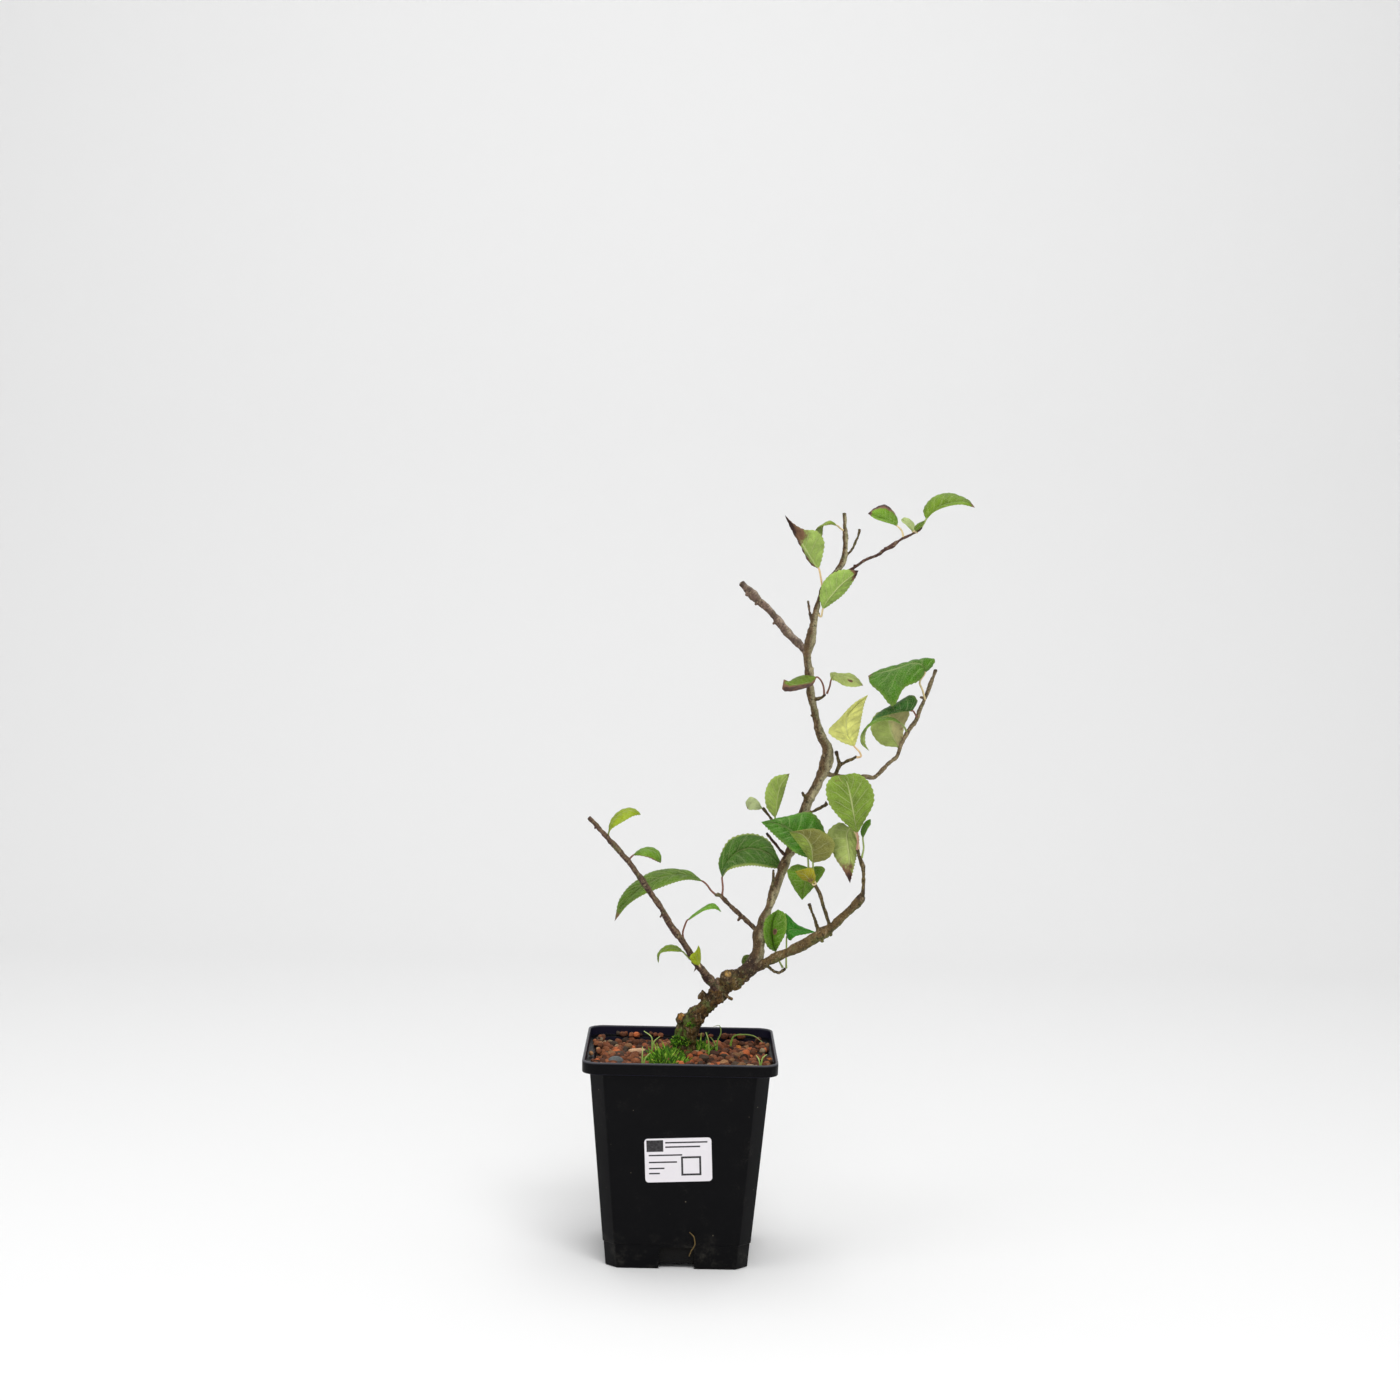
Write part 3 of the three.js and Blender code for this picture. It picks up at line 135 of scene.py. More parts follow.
# A shoot's levels as shares of its length with its radii there, and the few that grow tall
SHOOT_LEVELS = np.array((0, 0.45, 1))
SHOOT_RADII = np.array((0.35, 0.55, 0.08))
TALL_SHARE, TALL_FACTOR = 0.05, 2.4
# Moss on the trunk: seed, shoots, lowest place, height, how fast it thins, and its turns in degrees
TRUNK_MOSS_SEED = 5
TRUNK_MOSS_SHOOTS = 900
TRUNK_MOSS_LOW = 111
TRUNK_MOSS_HEIGHT = 24
TRUNK_MOSS_THINNING = 1.8
TRUNK_MOSS_TURNS = (135, 300)
TRUNK_MOSS_BARE = 113

# Heights between which the bark turns smooth, its moss at the foot ends, and its moss spots end, and
# how far to the right of the pot's middle the foot's moss reaches
ROUGH_BARK = (145, 185)
MOSSY_FOOT = (115.6, 139.6)
MOSSY_SPOTS = (128, 168)
MOSSY_RIGHT = 5

# Litter: middle, reach, turn in degrees, screen values, how square it is, and its slot
LITTER = {
    "pebble": ((-37, -17), (4.4, 3.4, 2.9), 12, (92, 96, 96), 0, "pebble_stone"),
    "bark_chip_long": ((-25, 15), (5.4, 2.3, 1.7), 8, (188, 150, 116), 0.3, "dry_wood"),
    "bark_chip_short": ((-32, -33), (3.2, 2, 1.5), -14, (182, 166, 130), 0.3, "dry_wood"),
}

# Grass: how wide its blades are to their given half widths, how flat, and its low and high tones
GRASS_WIDTH = 0.56
GRASS_FLAT = 0.45
GRASS_TONES = ((106, 154, 44), (178, 198, 116))

# The dry root: its thickness to its given radii, how crooked it is, and its tone
DRY_ROOT_WIDTH = 0.7
DRY_ROOT_CROOK = 0.25
DRY_ROOT_TONE = (98, 80, 44)

# Leaves, in millimetres: the size of a blade's rows and columns with the fewest and most of them
LEAF_ROWS = (0.55, 28, 90)
LEAF_COLUMNS = (1.1, 22, 40)
FULL_LEAF = 40
TOOTH_STEP = 2.2
TOOTH_DEPTH = 0.2
BLADE_ARCH = 0.5
# Side veins to each half, how they lean and bow to the tip, and how far the halves are staggered
SIDE_VEINS = 7.5
VEIN_LEAN = 0.3
VEIN_BOW = 0.09
VEIN_STAGGER = 0.25
# Each side's roughness, specular level, saturation, veins' paleness, relief and its depth
LEAF_SIDES = {
    "upper": (0.42, 0.17, 1.34, 0.4, -0.5, 0.3),
    "under": (0.62, 0.1, 1.1, 0.85, 0.8, 0.5),
}

# The camera: its lens and sensor, and its turn to the right, down and about its own line of sight
CAMERA_LENS = 62.87
CAMERA_SENSOR = 36
CAMERA_TURN = (0.35, 3.40, 1.15)

# The stage, in metres: the backdrop's front edge, wall, bend, half width and top
BACKDROP_FRONT, BACKDROP_WALL, BACKDROP_BEND, BACKDROP_HALF, BACKDROP_TOP = -3.0, 1.0, 0.55, 3.2, 2.6
BACKDROP_TONE = (236, 236, 236)
WORLD_STRENGTH = 0.47
LIGHT_AIM = (0, 0, 0.24)
# Lights: place, size and power
LIGHTS = {
    "key": ((0.4, -1.4, 1.7), 1.1, 24),
    "fill": ((-1.4, -1.0, 0.9), 1.2, 8),
    "top": ((0.0, 0.3, 1.9), 1.4, 11),
}

# Routes give x and z as they look from the eye, on the upright plane through the pot's middle, and y
# as the true depth behind that plane.
EYE = np.array((-1.3, -1400, 403))

# Wood routes: (x, z, y, radius)
WOOD = {
    "trunk": [(2, 110, 9, 7.2), (2, 117, 9, 7.2), (3, 125, 8, 6.7), (6, 133.5, 7, 5.5),
        (12.5, 141, 5, 4.8), (19.5, 148, 4, 4.8), (26.5, 156, 2, 5), (34, 161, 1, 4.5),
        (40.5, 166.5, 0, 4.6)],
    "old_knob": [(6.5, 131, 8, 3.5), (1.5, 134.5, 5, 3.5), (-1, 135.5, 3, 3.2)],
    "cut_knob": [(28.5, 156, 1, 4.9), (26.5, 159.5, -1, 4.6), (25.5, 161.5, -3, 3.2)],
    "left_shoot": [(21, 153.5, 1, 2.6), (17, 157.5, -1, 2.7), (12.5, 162.5, -4, 2.3), (7.5, 169, -7, 2),
        (1, 178.5, -11, 1.9), (-6.5, 189, -15, 1.9), (-12, 198, -19, 1.7), (-18, 206.5, -23, 1.7),
        (-25.5, 217.5, -27, 1.7), (-30, 223.5, -30, 1.6), (-37, 231.5, -33, 1.5), (-44, 239, -36, 1.5),
        (-49, 244, -38, 1.5), (-52.5, 248, -40, 1.3), (-55.5, 251, -41, 1.1)],
    "leader": [(40.5, 165.5, 0, 4.3), (43, 172, 0, 4), (44, 179, 0, 3.5), (44.5, 186.5, 0, 3.6),
        (46, 192.5, 0, 2.7), (48, 197, 0, 2.2), (50, 203, 1, 2.4), (52, 210, 2, 2.9), (54.5, 217, 2, 2.6),
        (57, 223.5, 3, 2.7), (59.5, 230.5, 3, 2.9), (62.5, 236.5, 4, 2.6), (65.5, 246.5, 5, 2.7),
        (68.5, 256.5, 6, 3), (71, 264, 7, 3), (74.5, 270, 8, 2.8), (77, 275.5, 8, 2.8),
        (79.5, 281.5, 8, 3), (81, 288.5, 8, 3.5), (81, 293, 8, 3.5), (78, 299, 7, 2.7),
        (75.5, 305.5, 6, 2.2), (73.5, 313.5, 5, 2.2), (71.5, 321, 3, 2.2), (70, 329.5, 1, 2),
        (69.5, 337.5, 0, 2.4), (68.5, 344, -1, 2.3), (68.5, 349, -2, 2.9), (70, 355.5, -3, 2.7),
        (71, 363, -4, 2.4), (72.5, 371, -5, 2), (74, 378, -5, 1.3), (76, 385, -4, 1.1),
        (79.5, 390.5, -3, 1.1), (84.5, 396, -1, 1.6), (87.5, 401.5, 1, 1.7), (88.5, 408, 3, 1.4),
        (88.5, 415, 4, 1.4), (88, 422, 5, 1.3), (87.5, 428.5, 6, 1.3)],
    "top_twig": [(88.5, 403.5, 2, 0.9), (92, 407.5, 5, 0.7), (94.5, 412.5, 8, 0.7), (96, 416.5, 10, 0.7),
        (96.5, 419.5, 11, 0.6)],
    "side_stub": [(70.5, 366, -4, 1), (69, 371.5, -3, 0.7), (68, 378, -1, 0.6)],
    "upper_right": [(82.5, 394, -2, 1.2), (90.5, 395.5, -5, 1), (95, 398, -7, 1), (100.5, 402, -10, 1),
        (107, 405, -13, 0.9), (111.5, 408, -15, 1.1), (114.5, 409.5, -17, 1.4), (118.5, 412.5, -19, 0.9),
        (122.5, 415, -21, 1), (127, 417.5, -23, 0.8), (130.5, 419.5, -25, 0.8), (132, 421.5, -26, 0.7)],
    "upper_left": [(68.5, 348, -2, 2.6), (64, 352.5, 0, 2.4), (59, 357, 3, 2.2), (54, 362.5, 7, 2.2),
        (50, 367.5, 10, 2.2), (45, 373, 13, 2.2), (40.5, 377, 15, 2.3), (36, 381, 17, 2.5),
        (32.5, 384.5, 19, 2), (29.5, 387.5, 20, 1.9)],
    "inner_left": [(45.5, 184.5, 2, 1.4), (39.5, 190, 5, 1.4), (34.5, 194.5, 8, 1.4), (28.5, 200, 11, 1.3),
        (23.5, 205, 14, 1.3), (21.5, 207, 15, 1.2), (18, 207.5, 16, 0.9)],
    "hidden_twig": [(63.5, 239, 5, 1), (57, 243.5, 8, 0.9), (50, 251.5, 11, 0.9), (44.5, 258.5, 13, 0.9)],
    "dark_twig": [(59.5, 231, 3, 1), (57, 232.5, 0, 1), (52, 238, -3, 0.9), (47, 244, -6, 0.9)],
    "thin_twig": [(52.5, 210, 1, 0.9), (51, 212.5, -1, 0.7), (51.5, 218, -2, 0.7), (51.5, 223, -3, 0.6)],
    "low_right": [(36.5, 163, 0, 3.5), (45, 166.5, -3, 2.6), (53.5, 171.5, -7, 2.7), (61, 175, -10, 2.6),
        (68, 178.5, -13, 3), (74.5, 182.5, -16, 3.1), (80, 186, -18, 3), (85, 189, -20, 2.7),
        (90.5, 194.5, -23, 2.5), (96, 200, -26, 2.5), (101, 205.5, -29, 2.5), (103, 208.5, -30, 2.1)],
    "low_right_up": [(102.5, 206, -29, 1.7), (103.5, 212.5, -30, 1.1), (103.5, 219, -30, 1),
        (103, 226, -30, 1.2), (101, 231, -30, 1), (99.5, 235.5, -30, 1)],
    "twig_a": [(85, 189, -20, 1.3), (83, 196, -19, 1.1), (80.5, 203, -18, 1.1), (78.5, 209, -17, 1.1),
        (75.5, 214.5, -16, 0.9), (74, 217, -16, 0.9)],
    "twig_b": [(78.5, 186.5, -18, 1.1), (76.5, 192.5, -20, 0.9), (74.5, 198.5, -23, 0.8),
        (72.5, 203.5, -25, 1.1)],
    "under_twig": [(47, 169, -3, 1.1), (50, 166, -3, 0.9), (53.5, 163.5, -2, 0.9), (56.5, 163, -1, 0.9),
        (59.5, 165.5, 0, 0.9)],
    "right": [(80.5, 279, 8, 1.4), (85.5, 278, 10, 1.2), (94.5, 277, 13, 1.2), (103.5, 277.5, 15, 1.2),
        (107.5, 277, 17, 1.3), (111.5, 280, 19, 1.2), (116, 285, 21, 1.3), (121, 289.5, 24, 1.3),
        (123, 295, 27, 1.2), (126, 302, 30, 1.2), (128.5, 306.5, 32, 1.2), (132, 311.5, 34, 1.5),
        (133.5, 317, 36, 1.1), (136.5, 323.5, 38, 1.2), (139, 331.5, 40, 1.1), (141, 337, 41, 1.2),
        (142, 340, 42, 1.1)],
    "right_spur": [(85.5, 277.5, 10, 1.2), (87, 281, 9, 1.2), (88, 284, 8, 1.2), (87, 288.5, 6, 1),
        (86, 292, 5, 1.2)],
    "right_arm": [(88, 283.5, 8, 1), (92, 286, 6, 0.9), (95.5, 287.5, 4, 0.9), (98, 289, 3, 0.9)],
    "mid_twig": [(69.5, 255, 6, 1.2), (74, 257, 4, 0.9), (77.5, 259, 2, 0.9), (82, 261.5, 0, 1)],
    "mid_spur": [(72, 264, 6, 1.2), (68.5, 265.5, 4, 1), (67, 268, 3, 0.7)],
    "high_spur": [(71.5, 321.5, 3, 1.2), (75, 322, 1, 1), (78, 323.5, -1, 0.9), (79, 324.5, -2, 0.9)],
}

# Buds and spurs, given like the wood
BUDS = [
    [(-47, 241, -37, 0.7), (-47, 243.5, -38, 0.5)],
    [(-50, 246, -39, 0.7), (-52, 244.5, -40, 0.5)],
    [(-42, 237.5, -35.5, 0.7), (-44, 236, -36, 0.5)],
    [(-11, 197, -18.5, 0.9), (-13.5, 193.5, -20, 0.5)],
    [(1.5, 178.5, -11, 0.9), (0, 182, -12, 0.5)],
    [(9.5, 167.5, -6, 0.7), (6.5, 162, -8, 0.3)],
    [(20.5, 207, 15.5, 0.9), (19.5, 209, 15, 0.5)],
    [(72.5, 372, -5, 1.2), (75, 370, -6, 0.6)],
    [(136.5, 323.5, 38, 1), (133.5, 324, 36, 0.7)],
    [(80, 259.5, 1, 0.9), (81, 263, 0, 0.6)],
    [(34.5, 382.5, 17, 1.4), (32, 380, 17, 0.7)],
    [(40.5, 378, 15, 1.4), (37.5, 375, 14, 0.7)],
    [(47, 370.5, 12, 1.2), (49, 371.5, 11, 0.6)],
    [(51, 366.5, 9, 1.2), (48, 364, 8, 0.6)],
    [(24.5, 151, 2, 1.7), (27.5, 148, -1, 1), (29.5, 147, -2, 0.7)],
    [(79, 185, -18, 1.4), (81, 181, -19, 0.9)],
    [(83.5, 189, -20, 1.7), (86, 185, -21, 0.9)],
    [(33.5, 195.5, 8.5, 1.2), (31.5, 192.5, 8, 0.7)],
    [(112.5, 408, -15.5, 0.9), (110.5, 409.5, -16, 0.5)],
    [(95.5, 398, -7, 0.9), (93.5, 399, -8, 0.5)],
    [(73, 312.5, 5, 1.4), (71, 312, 4, 0.7)],
    [(80.5, 293.5, 8, 2.6), (83.5, 290.5, 7, 1.4)],
    [(69, 339.5, 0, 2), (72, 338.5, -1, 1.2)],
    [(88, 415.5, 4, 1.2), (90, 416, 3, 0.6)],
    [(87.5, 404, 2, 1.4), (90, 403.5, 2, 0.9)],
    [(20.5, 154.5, 2, 2.6), (21, 159, 1, 1.2)],
    [(13.5, 151, 4, 2.3), (10.5, 147, 3, 1.4)],
]

# Roots: true x, y, z and radius
ROOTS = [
    [(2, 8, 114, 5.5), (-8, 0, 105, 3.2), (-19, -10, 92, 1.2)],
    [(3, 7, 113, 5.5), (11, -3, 103, 3), (20, -12, 88, 1.2)],
    [(2, 10, 113, 5.5), (6, 18, 102, 3.2), (9, 25, 86, 1.2)],
]

# Leaves: the routes of the stalk and the rib, and of the left and the right margin
LEAVES = {
    "leaf_01": (
        [(-44, 239.2, -36), (-44, 240.6, -36)],
        [(-43.8, 242.2, -36), (-42.2, 247.4, -36), (-39.2, 251.8, -35), (-34.6, 254.8, -34),
         (-30.2, 255.4, -33), (-27.2, 254.6, -32), (-25.4, 253, -31)],
        [(-42, 249.4, -29), (-37.2, 254.6, -27), (-30.6, 256.2, -27)],
        [(-41.6, 245, -41), (-35.6, 249, -42), (-29.4, 252.4, -37)],
    ),
    "leaf_02": (
        [(-31.8, 225, -30.4), (-31.2, 227.6, -30)],
        [(-29.6, 229.4, -29), (-25.6, 232, -28), (-21, 233, -26), (-16.8, 231.6, -25), (-14, 228.8, -24),
         (-13.4, 225.4, -23)],
        [(-25, 232.6, -21), (-19.8, 234, -18), (-15.2, 231.8, -18)],
        [(-25.4, 229.4, -34), (-20.6, 228.4, -33), (-16.2, 226.4, -29)],
    ),
    "leaf_03": (
        [(18.8, 207.4, 16), (15.8, 210, 16.4), (13.4, 213.2, 17)],
        [(11, 215.2, 17), (3.6, 217.8, 16), (-5.2, 218.6, 13), (-13.8, 216.6, 9), (-20.6, 213, 6),
         (-27.4, 208.2, 3), (-33, 201.8, -1), (-37, 196, -4), (-39.4, 191.2, -6)],
        [(0.2, 215.8, 7), (-16, 210.2, 1), (-30.8, 201.6, -6)],
        [(2.4, 221, 23), (-19.6, 219.8, 16), (-35.4, 205.8, 5)],
    ),
    "leaf_04": (
        [(22.2, 207, 15), (22.6, 211.6, 17)],
        [(22, 217.4, 18), (23, 223.2, 19), (27, 229.6, 20), (33.2, 233.8, 20), (41.2, 234.6, 18),
         (48.8, 231.8, 15), (54, 227.2, 13), (57.6, 223.2, 11)],
        [(20, 227.2, 23), (25.6, 239.4, 24), (36.4, 243.4, 24), (48, 239.8, 20)],
        [(26.4, 222.4, 12), (38, 225, 12), (49, 224, 10)],
    ),
    "leaf_05": (
        [(0.8, 179.8, -11), (0, 185, -12), (1, 189, -13)],
        [(2.4, 192.4, -14), (6.2, 195.2, -14), (10.8, 198.2, -14), (15.4, 201, -15), (18.8, 200.4, -16),
         (22, 197.6, -17)],
        [(7.4, 196.6, -10), (12.6, 200.2, -9), (17.4, 202.4, -11)],
        [(7.4, 195.4, -17), (12.6, 198.2, -19), (18, 199.2, -19)],
    ),
    "leaf_06": (
        [(4.4, 170, -8), (2.4, 172, -6.4)],
        [(0.4, 174, -5), (-3.2, 175.8, -4), (-6.6, 176.2, -3), (-10.6, 175, -2), (-13.4, 172.2, -1),
         (-13.8, 167.2, -1)],
        [(-2.6, 174, -9), (-8.2, 174, -8), (-12.8, 172.6, -5)],
        [(-3.2, 177.2, 2), (-8.4, 177.6, 3), (-13.8, 172.8, 2)],
    ),
    "leaf_07": (
        [(12.8, 162, -4), (11.2, 164.2, -5.6)],
        [(10, 166.2, -8), (8.8, 170, -10), (8.4, 173.6, -12), (9.2, 178, -13)],
        [(6.2, 167.4, -10), (4.2, 171.4, -12), (7.6, 174.6, -13)],
        [(10.6, 169.6, -5), (10.6, 173.6, -8), (10.2, 176.2, -11)],
    ),
    "leaf_08": (
        [(54.8, 245.8, 9), (52.6, 249.2, 8)],
        [(51.8, 252.6, 7), (52.2, 259.6, 6), (53, 266, 5), (54.8, 272.4, 4), (59.6, 278.6, 3)],
        [(46.8, 259, 4), (46, 268.2, 3), (50.4, 276, 2)],
        [(54, 259, 9), (56, 265.4, 9), (58, 273.6, 6)],
    ),
    "leaf_09": (
        [(45.6, 256.6, 13)],
        [(44.4, 258, 13), (41.2, 260, 14), (37.8, 260.4, 15), (35.8, 257.6, 16)],
        [(41.8, 257.2, 10), (39, 257.2, 10), (37.2, 257, 12)],
        [(41.8, 262.4, 17), (37.6, 264.6, 18), (34.8, 261.6, 18)],
    ),
    "leaf_10": (
        [(72.6, 217.2, -16), (71.8, 223, -16)],
        [(71.2, 230, -15), (68.8, 236.8, -14), (64.6, 242.6, -13), (58.8, 247, -13), (51.2, 249.8, -14),
         (43.8, 250.2, -15)],
        [(64.8, 232.4, -18), (56.6, 238.6, -16), (49, 245.4, -15)],
        [(79.2, 236.4, -11), (80, 246.8, -9), (73, 256, -8), (57.4, 253.4, -10)],
    ),
    "leaf_11": (
        [(74, 217.2, -17.6), (74.4, 221.8, -19.6)],
        [(74.2, 227, -21), (74, 232.8, -22), (72.8, 237.4, -23), (69.8, 242, -24), (65.8, 244.6, -25),
         (60.2, 244.8, -25)],
        [(70.6, 231, -18), (66, 237.4, -18), (62.4, 241.6, -20)],
        [(83.4, 230.4, -28), (86.4, 238.8, -31), (76.6, 246.6, -29)],
    ),
    "leaf_12": (
        [(100.4, 235.4, -28.8), (99.8, 240.4, -26.4)],
        [(98.2, 245, -26), (95.6, 247.8, -25), (93.4, 244.2, -25), (94.2, 236.8, -28), (95.6, 227.4, -31),
         (95.8, 215.8, -33)],
        [(100, 243.8, -24), (99.4, 235, -25), (97.6, 224.6, -31)],
        [(89.2, 250.8, -18), (82.2, 244.6, -19), (86.8, 230.8, -25), (92.2, 222.8, -31)],
    ),
    "leaf_13": (
        [(99.4, 235.4, -31), (99.8, 240.4, -33)],
        [(99.4, 244.4, -33), (97.8, 251.2, -33), (96.2, 259.4, -31), (94.6, 266.8, -28),
         (92.8, 273.2, -25), (89.8, 278.2, -22)],
        [(90.4, 252.2, -32), (82.6, 262, -30), (81, 271.8, -27), (84.6, 277.2, -24)],
        [(104.2, 253.2, -31), (108.4, 264.2, -28), (106, 273.4, -25), (98.4, 279.2, -22)],
    ),
    "leaf_14": (
        [(102.2, 230.6, -29.6), (103.2, 236.4, -25)],
        [(102.6, 242, -24), (104, 247.4, -22), (106.8, 253.2, -20)],
        [(101.2, 245.6, -20), (102, 249, -19), (104.2, 252, -19)],
        [(104, 244.4, -26), (105.4, 247.6, -26), (107, 250.2, -23)],
    ),
    "leaf_15": (
        [(74, 217.2, -14.4), (74, 220.2, -12)],
        [(72.6, 224.2, -10), (71, 218.4, -9), (69.4, 211.8, -9), (68.4, 205.4, -10)],
        [(76.8, 225.4, -13), (81.2, 224, -13), (76.2, 214.4, -11)],
        [(64.4, 226, -5), (59.6, 222.2, -5), (63, 213, -8)],
    ),
    "leaf_16": (
        [(75.2, 216.4, -16.4), (76.2, 215, -19)],
        [(74.6, 214.4, -21), (72.2, 218, -22), (69.2, 220.6, -23), (64, 222, -24)],
        [(71.6, 216.2, -19), (68.4, 217, -19), (65.8, 219.4, -21)],
        [(76, 219, -24), (73.8, 224.2, -25), (68.6, 223.4, -25)],
    ),
    "leaf_17": (
        [(58.2, 165.8, -1), (56, 169.8, 0.4)],
        [(53.8, 175, 1), (52.2, 180.2, 0), (51.2, 187.2, -2), (51.8, 193.6, -3), (54.6, 199.8, -4)],
        [(49, 178, -4), (46.6, 185.4, -6), (47.6, 194, -6)],
        [(56.2, 179.6, -5), (59.6, 187.4, -7), (58.8, 197.2, -7)],
    ),
    "leaf_18": (
        [(60.2, 165.6, 1.2), (60, 170.4, 3), (60, 178, 4)],
        [(60, 183.8, 5), (61.2, 187.6, 5), (65.2, 188.2, 6), (70.4, 187.6, 7), (76.6, 187, 8)],
        [(59.4, 190.2, 9), (58.8, 198, 11), (63.4, 192.6, 10), (69.2, 189.6, 9)],
        [(62, 181.8, 2), (65, 184.2, 2), (70.6, 185.6, 4)],
    ),
    "leaf_19": (
        [(39.2, 163, 4), (39, 164, 8)],
        [(38.4, 164.8, 10), (36.8, 168.8, 11), (38, 173.2, 12)],
        [(35.4, 166, 12), (34.2, 169.4, 13), (35.6, 172.6, 13)],
        [(40.4, 166, 12), (41.4, 169.6, 12), (40.2, 172.2, 13)],
    ),
    "leaf_20": (
        [(98.2, 288.6, 3), (100.4, 289.2, 1), (99.4, 291.8, 0)],
        [(96.6, 294.6, 0), (93, 299.6, -1), (91, 306, -2), (91.8, 312.2, -3), (96.8, 318.8, -3),
         (103.6, 324.8, -2)],
        [(88.2, 297.8, -4), (81.4, 303.2, -6), (87.8, 311, -7), (95.6, 319.6, -5)],
        [(98.4, 300.4, 3), (100.2, 311.4, 2), (102, 320.6, 0)],
    ),
    "leaf_21": (
        [(136.4, 322.4, 37.6), (134.8, 328, 35), (133, 332.6, 33)],
        [(136, 337.8, 32), (134.2, 342.4, 31), (128.4, 343.4, 31), (121, 340.8, 31), (112.4, 338.2, 30),
         (103.4, 335.6, 28)],
        [(132, 333, 27), (124.2, 329, 22), (118, 318.6, 21), (110.4, 326.2, 22), (104.8, 331.2, 25)],
        [(139.4, 341.4, 35), (141.2, 345.8, 38), (131.8, 345, 39), (121.6, 342.2, 38), (111.8, 339.2, 36)],
    ),
    "leaf_22": (
        [(132, 312, 34), (130.8, 314.4, 31)],
        [(129.4, 316, 28), (122.8, 315.4, 26), (116.4, 314.6, 24), (110.8, 312.6, 22), (105.6, 309.2, 20)],
        [(122.8, 315.2, 23), (115.8, 313.6, 21.6), (110, 311.6, 20)],
        [(131.8, 322, 33), (128.8, 325, 34), (120.8, 321, 33), (112.6, 316.4, 29), (108.2, 312.4, 25)],
    ),
    "leaf_23": (
        [(126.4, 303.8, 31), (125, 306.4, 26)],
        [(123.2, 308.4, 22), (119.2, 310.6, 19), (114.2, 311.2, 16), (109, 310, 13), (104, 306.8, 10),
         (101.6, 302.6, 8), (101.2, 297.6, 7), (105, 292.4, 6)],
        [(116.6, 310.6, 12), (107.4, 308.4, 8), (100.2, 301, 5), (100.4, 297, 5)],
        [(118.2, 311.8, 19), (108.4, 310.6, 15.6), (103, 303.8, 11), (102.6, 297, 9)],
    ),
    "leaf_24": (
        [(123.2, 294.2, 27), (122.4, 294.2, 30)],
        [(121.6, 294.8, 32), (118.8, 300.2, 34), (116.6, 305.8, 35), (116, 311.6, 35), (117, 318.2, 34)],
        [(112.2, 296.2, 34), (105.8, 304.6, 36), (107.8, 313.2, 36)],
        [(124, 298.6, 36), (124.6, 306.6, 38), (127.4, 315.6, 38)],
    ),
    "leaf_25": (
        [(76, 385.4, -4), (75, 391, -8)],
        [(73.8, 396.2, -11), (69.4, 402.6, -13), (65.2, 408.8, -15), (61.4, 415.4, -16),
         (57.6, 421.2, -16), (53.6, 426.6, -16)],
        [(68.6, 399.2, -5), (62.6, 409.6, -9), (57, 419.6, -13)],
        [(75.6, 404.2, -15), (76.2, 412, -17), (71.8, 417.8, -19), (64.8, 418.6, -18), (58.6, 421.8, -17)],
    ),
    "leaf_26": (
        [(87.8, 418.2, 4.4), (85.8, 419.4, 3)],
        [(83.6, 421.2, 2), (80, 422.4, -1), (76.6, 421.8, -3), (73.8, 419.6, -5), (72.8, 416.2, -6),
         (73.8, 412.2, -6)],
        [(79, 421.6, -6), (72.4, 419.6, -9), (70.8, 416.2, -9)],
        [(79.4, 423.4, 5), (75.8, 420.8, 2), (75.2, 415.6, -2)],
    ),
    "leaf_27": (
        [(73.2, 370.8, -5), (75.6, 369, -8)],
        [(76.4, 373, -10), (78.8, 378, -12), (82.2, 382.4, -13), (86.6, 387.4, -13), (91.6, 391.8, -12),
         (96.4, 395.8, -11)],
        [(74.8, 380, -10), (77.4, 389.8, -10), (85.8, 395.8, -10)],
        [(81.6, 376.8, -9), (89, 382.6, -9), (93.8, 389.8, -9)],
    ),
    "leaf_28": (
        [(121.6, 415.4, -21), (120.8, 418.6, -20.4), (119.6, 420.2, -20)],
        [(118, 421.6, -19), (113.2, 424.2, -18), (107.4, 425.6, -17), (101, 428.4, -16)],
        [(115.4, 422.4, -22), (110.4, 423.8, -23), (105.2, 425.6, -21)],
        [(118.2, 425.6, -14), (115.2, 430.6, -12), (110.6, 433.8, -12), (105, 431.8, -13)],
    ),
    "leaf_29": (
        [(127.4, 417.6, -21.9)],
        [(127, 418.4, -19), (124.6, 422, -18), (120.2, 425.6, -17)],
        [(125, 420.2, -21), (122.6, 422.6, -21), (120.4, 424.2, -19)],
        [(128.2, 421.6, -16), (126, 425, -15), (122.2, 426.6, -15)],
    ),
    "leaf_30": (
        [(129.4, 418.2, -24.4)],
        [(127.8, 419, -27), (130.6, 421.6, -29), (133.6, 425, -31)],
        [(127.8, 421.2, -23), (129.8, 423.2, -24), (131.8, 424.2, -27)],
        [(129.6, 419.4, -31), (131.6, 421.2, -33), (133, 423, -32)],
    ),
    "leaf_31": (
        [(131.8, 421.4, -26), (133.2, 423.6, -26)],
        [(134.2, 425.6, -26), (137, 429.2, -26), (141.6, 432.4, -26), (146.6, 434.4, -27),
         (152.4, 435.6, -28), (157.4, 435.8, -29), (162, 433, -30)],
        [(133, 431.6, -20), (138, 438.6, -17), (147, 441.2, -17), (155.6, 438.6, -21)],
        [(139.8, 430.6, -30), (146.6, 433.6, -33), (154, 434.4, -33)],
    ),
    "leaf_32": (
        [(78.4, 324.6, -3), (78, 328.6, -4.4), (76.4, 332.4, -7)],
        [(74, 334.4, -9), (70.6, 331.4, -10), (65.6, 330.2, -10.4), (59.8, 330, -10), (55, 332.6, -9)],
        [(71.4, 329.4, -13), (65.6, 327.2, -15), (58.8, 325.8, -14), (54.4, 326.6, -11)],
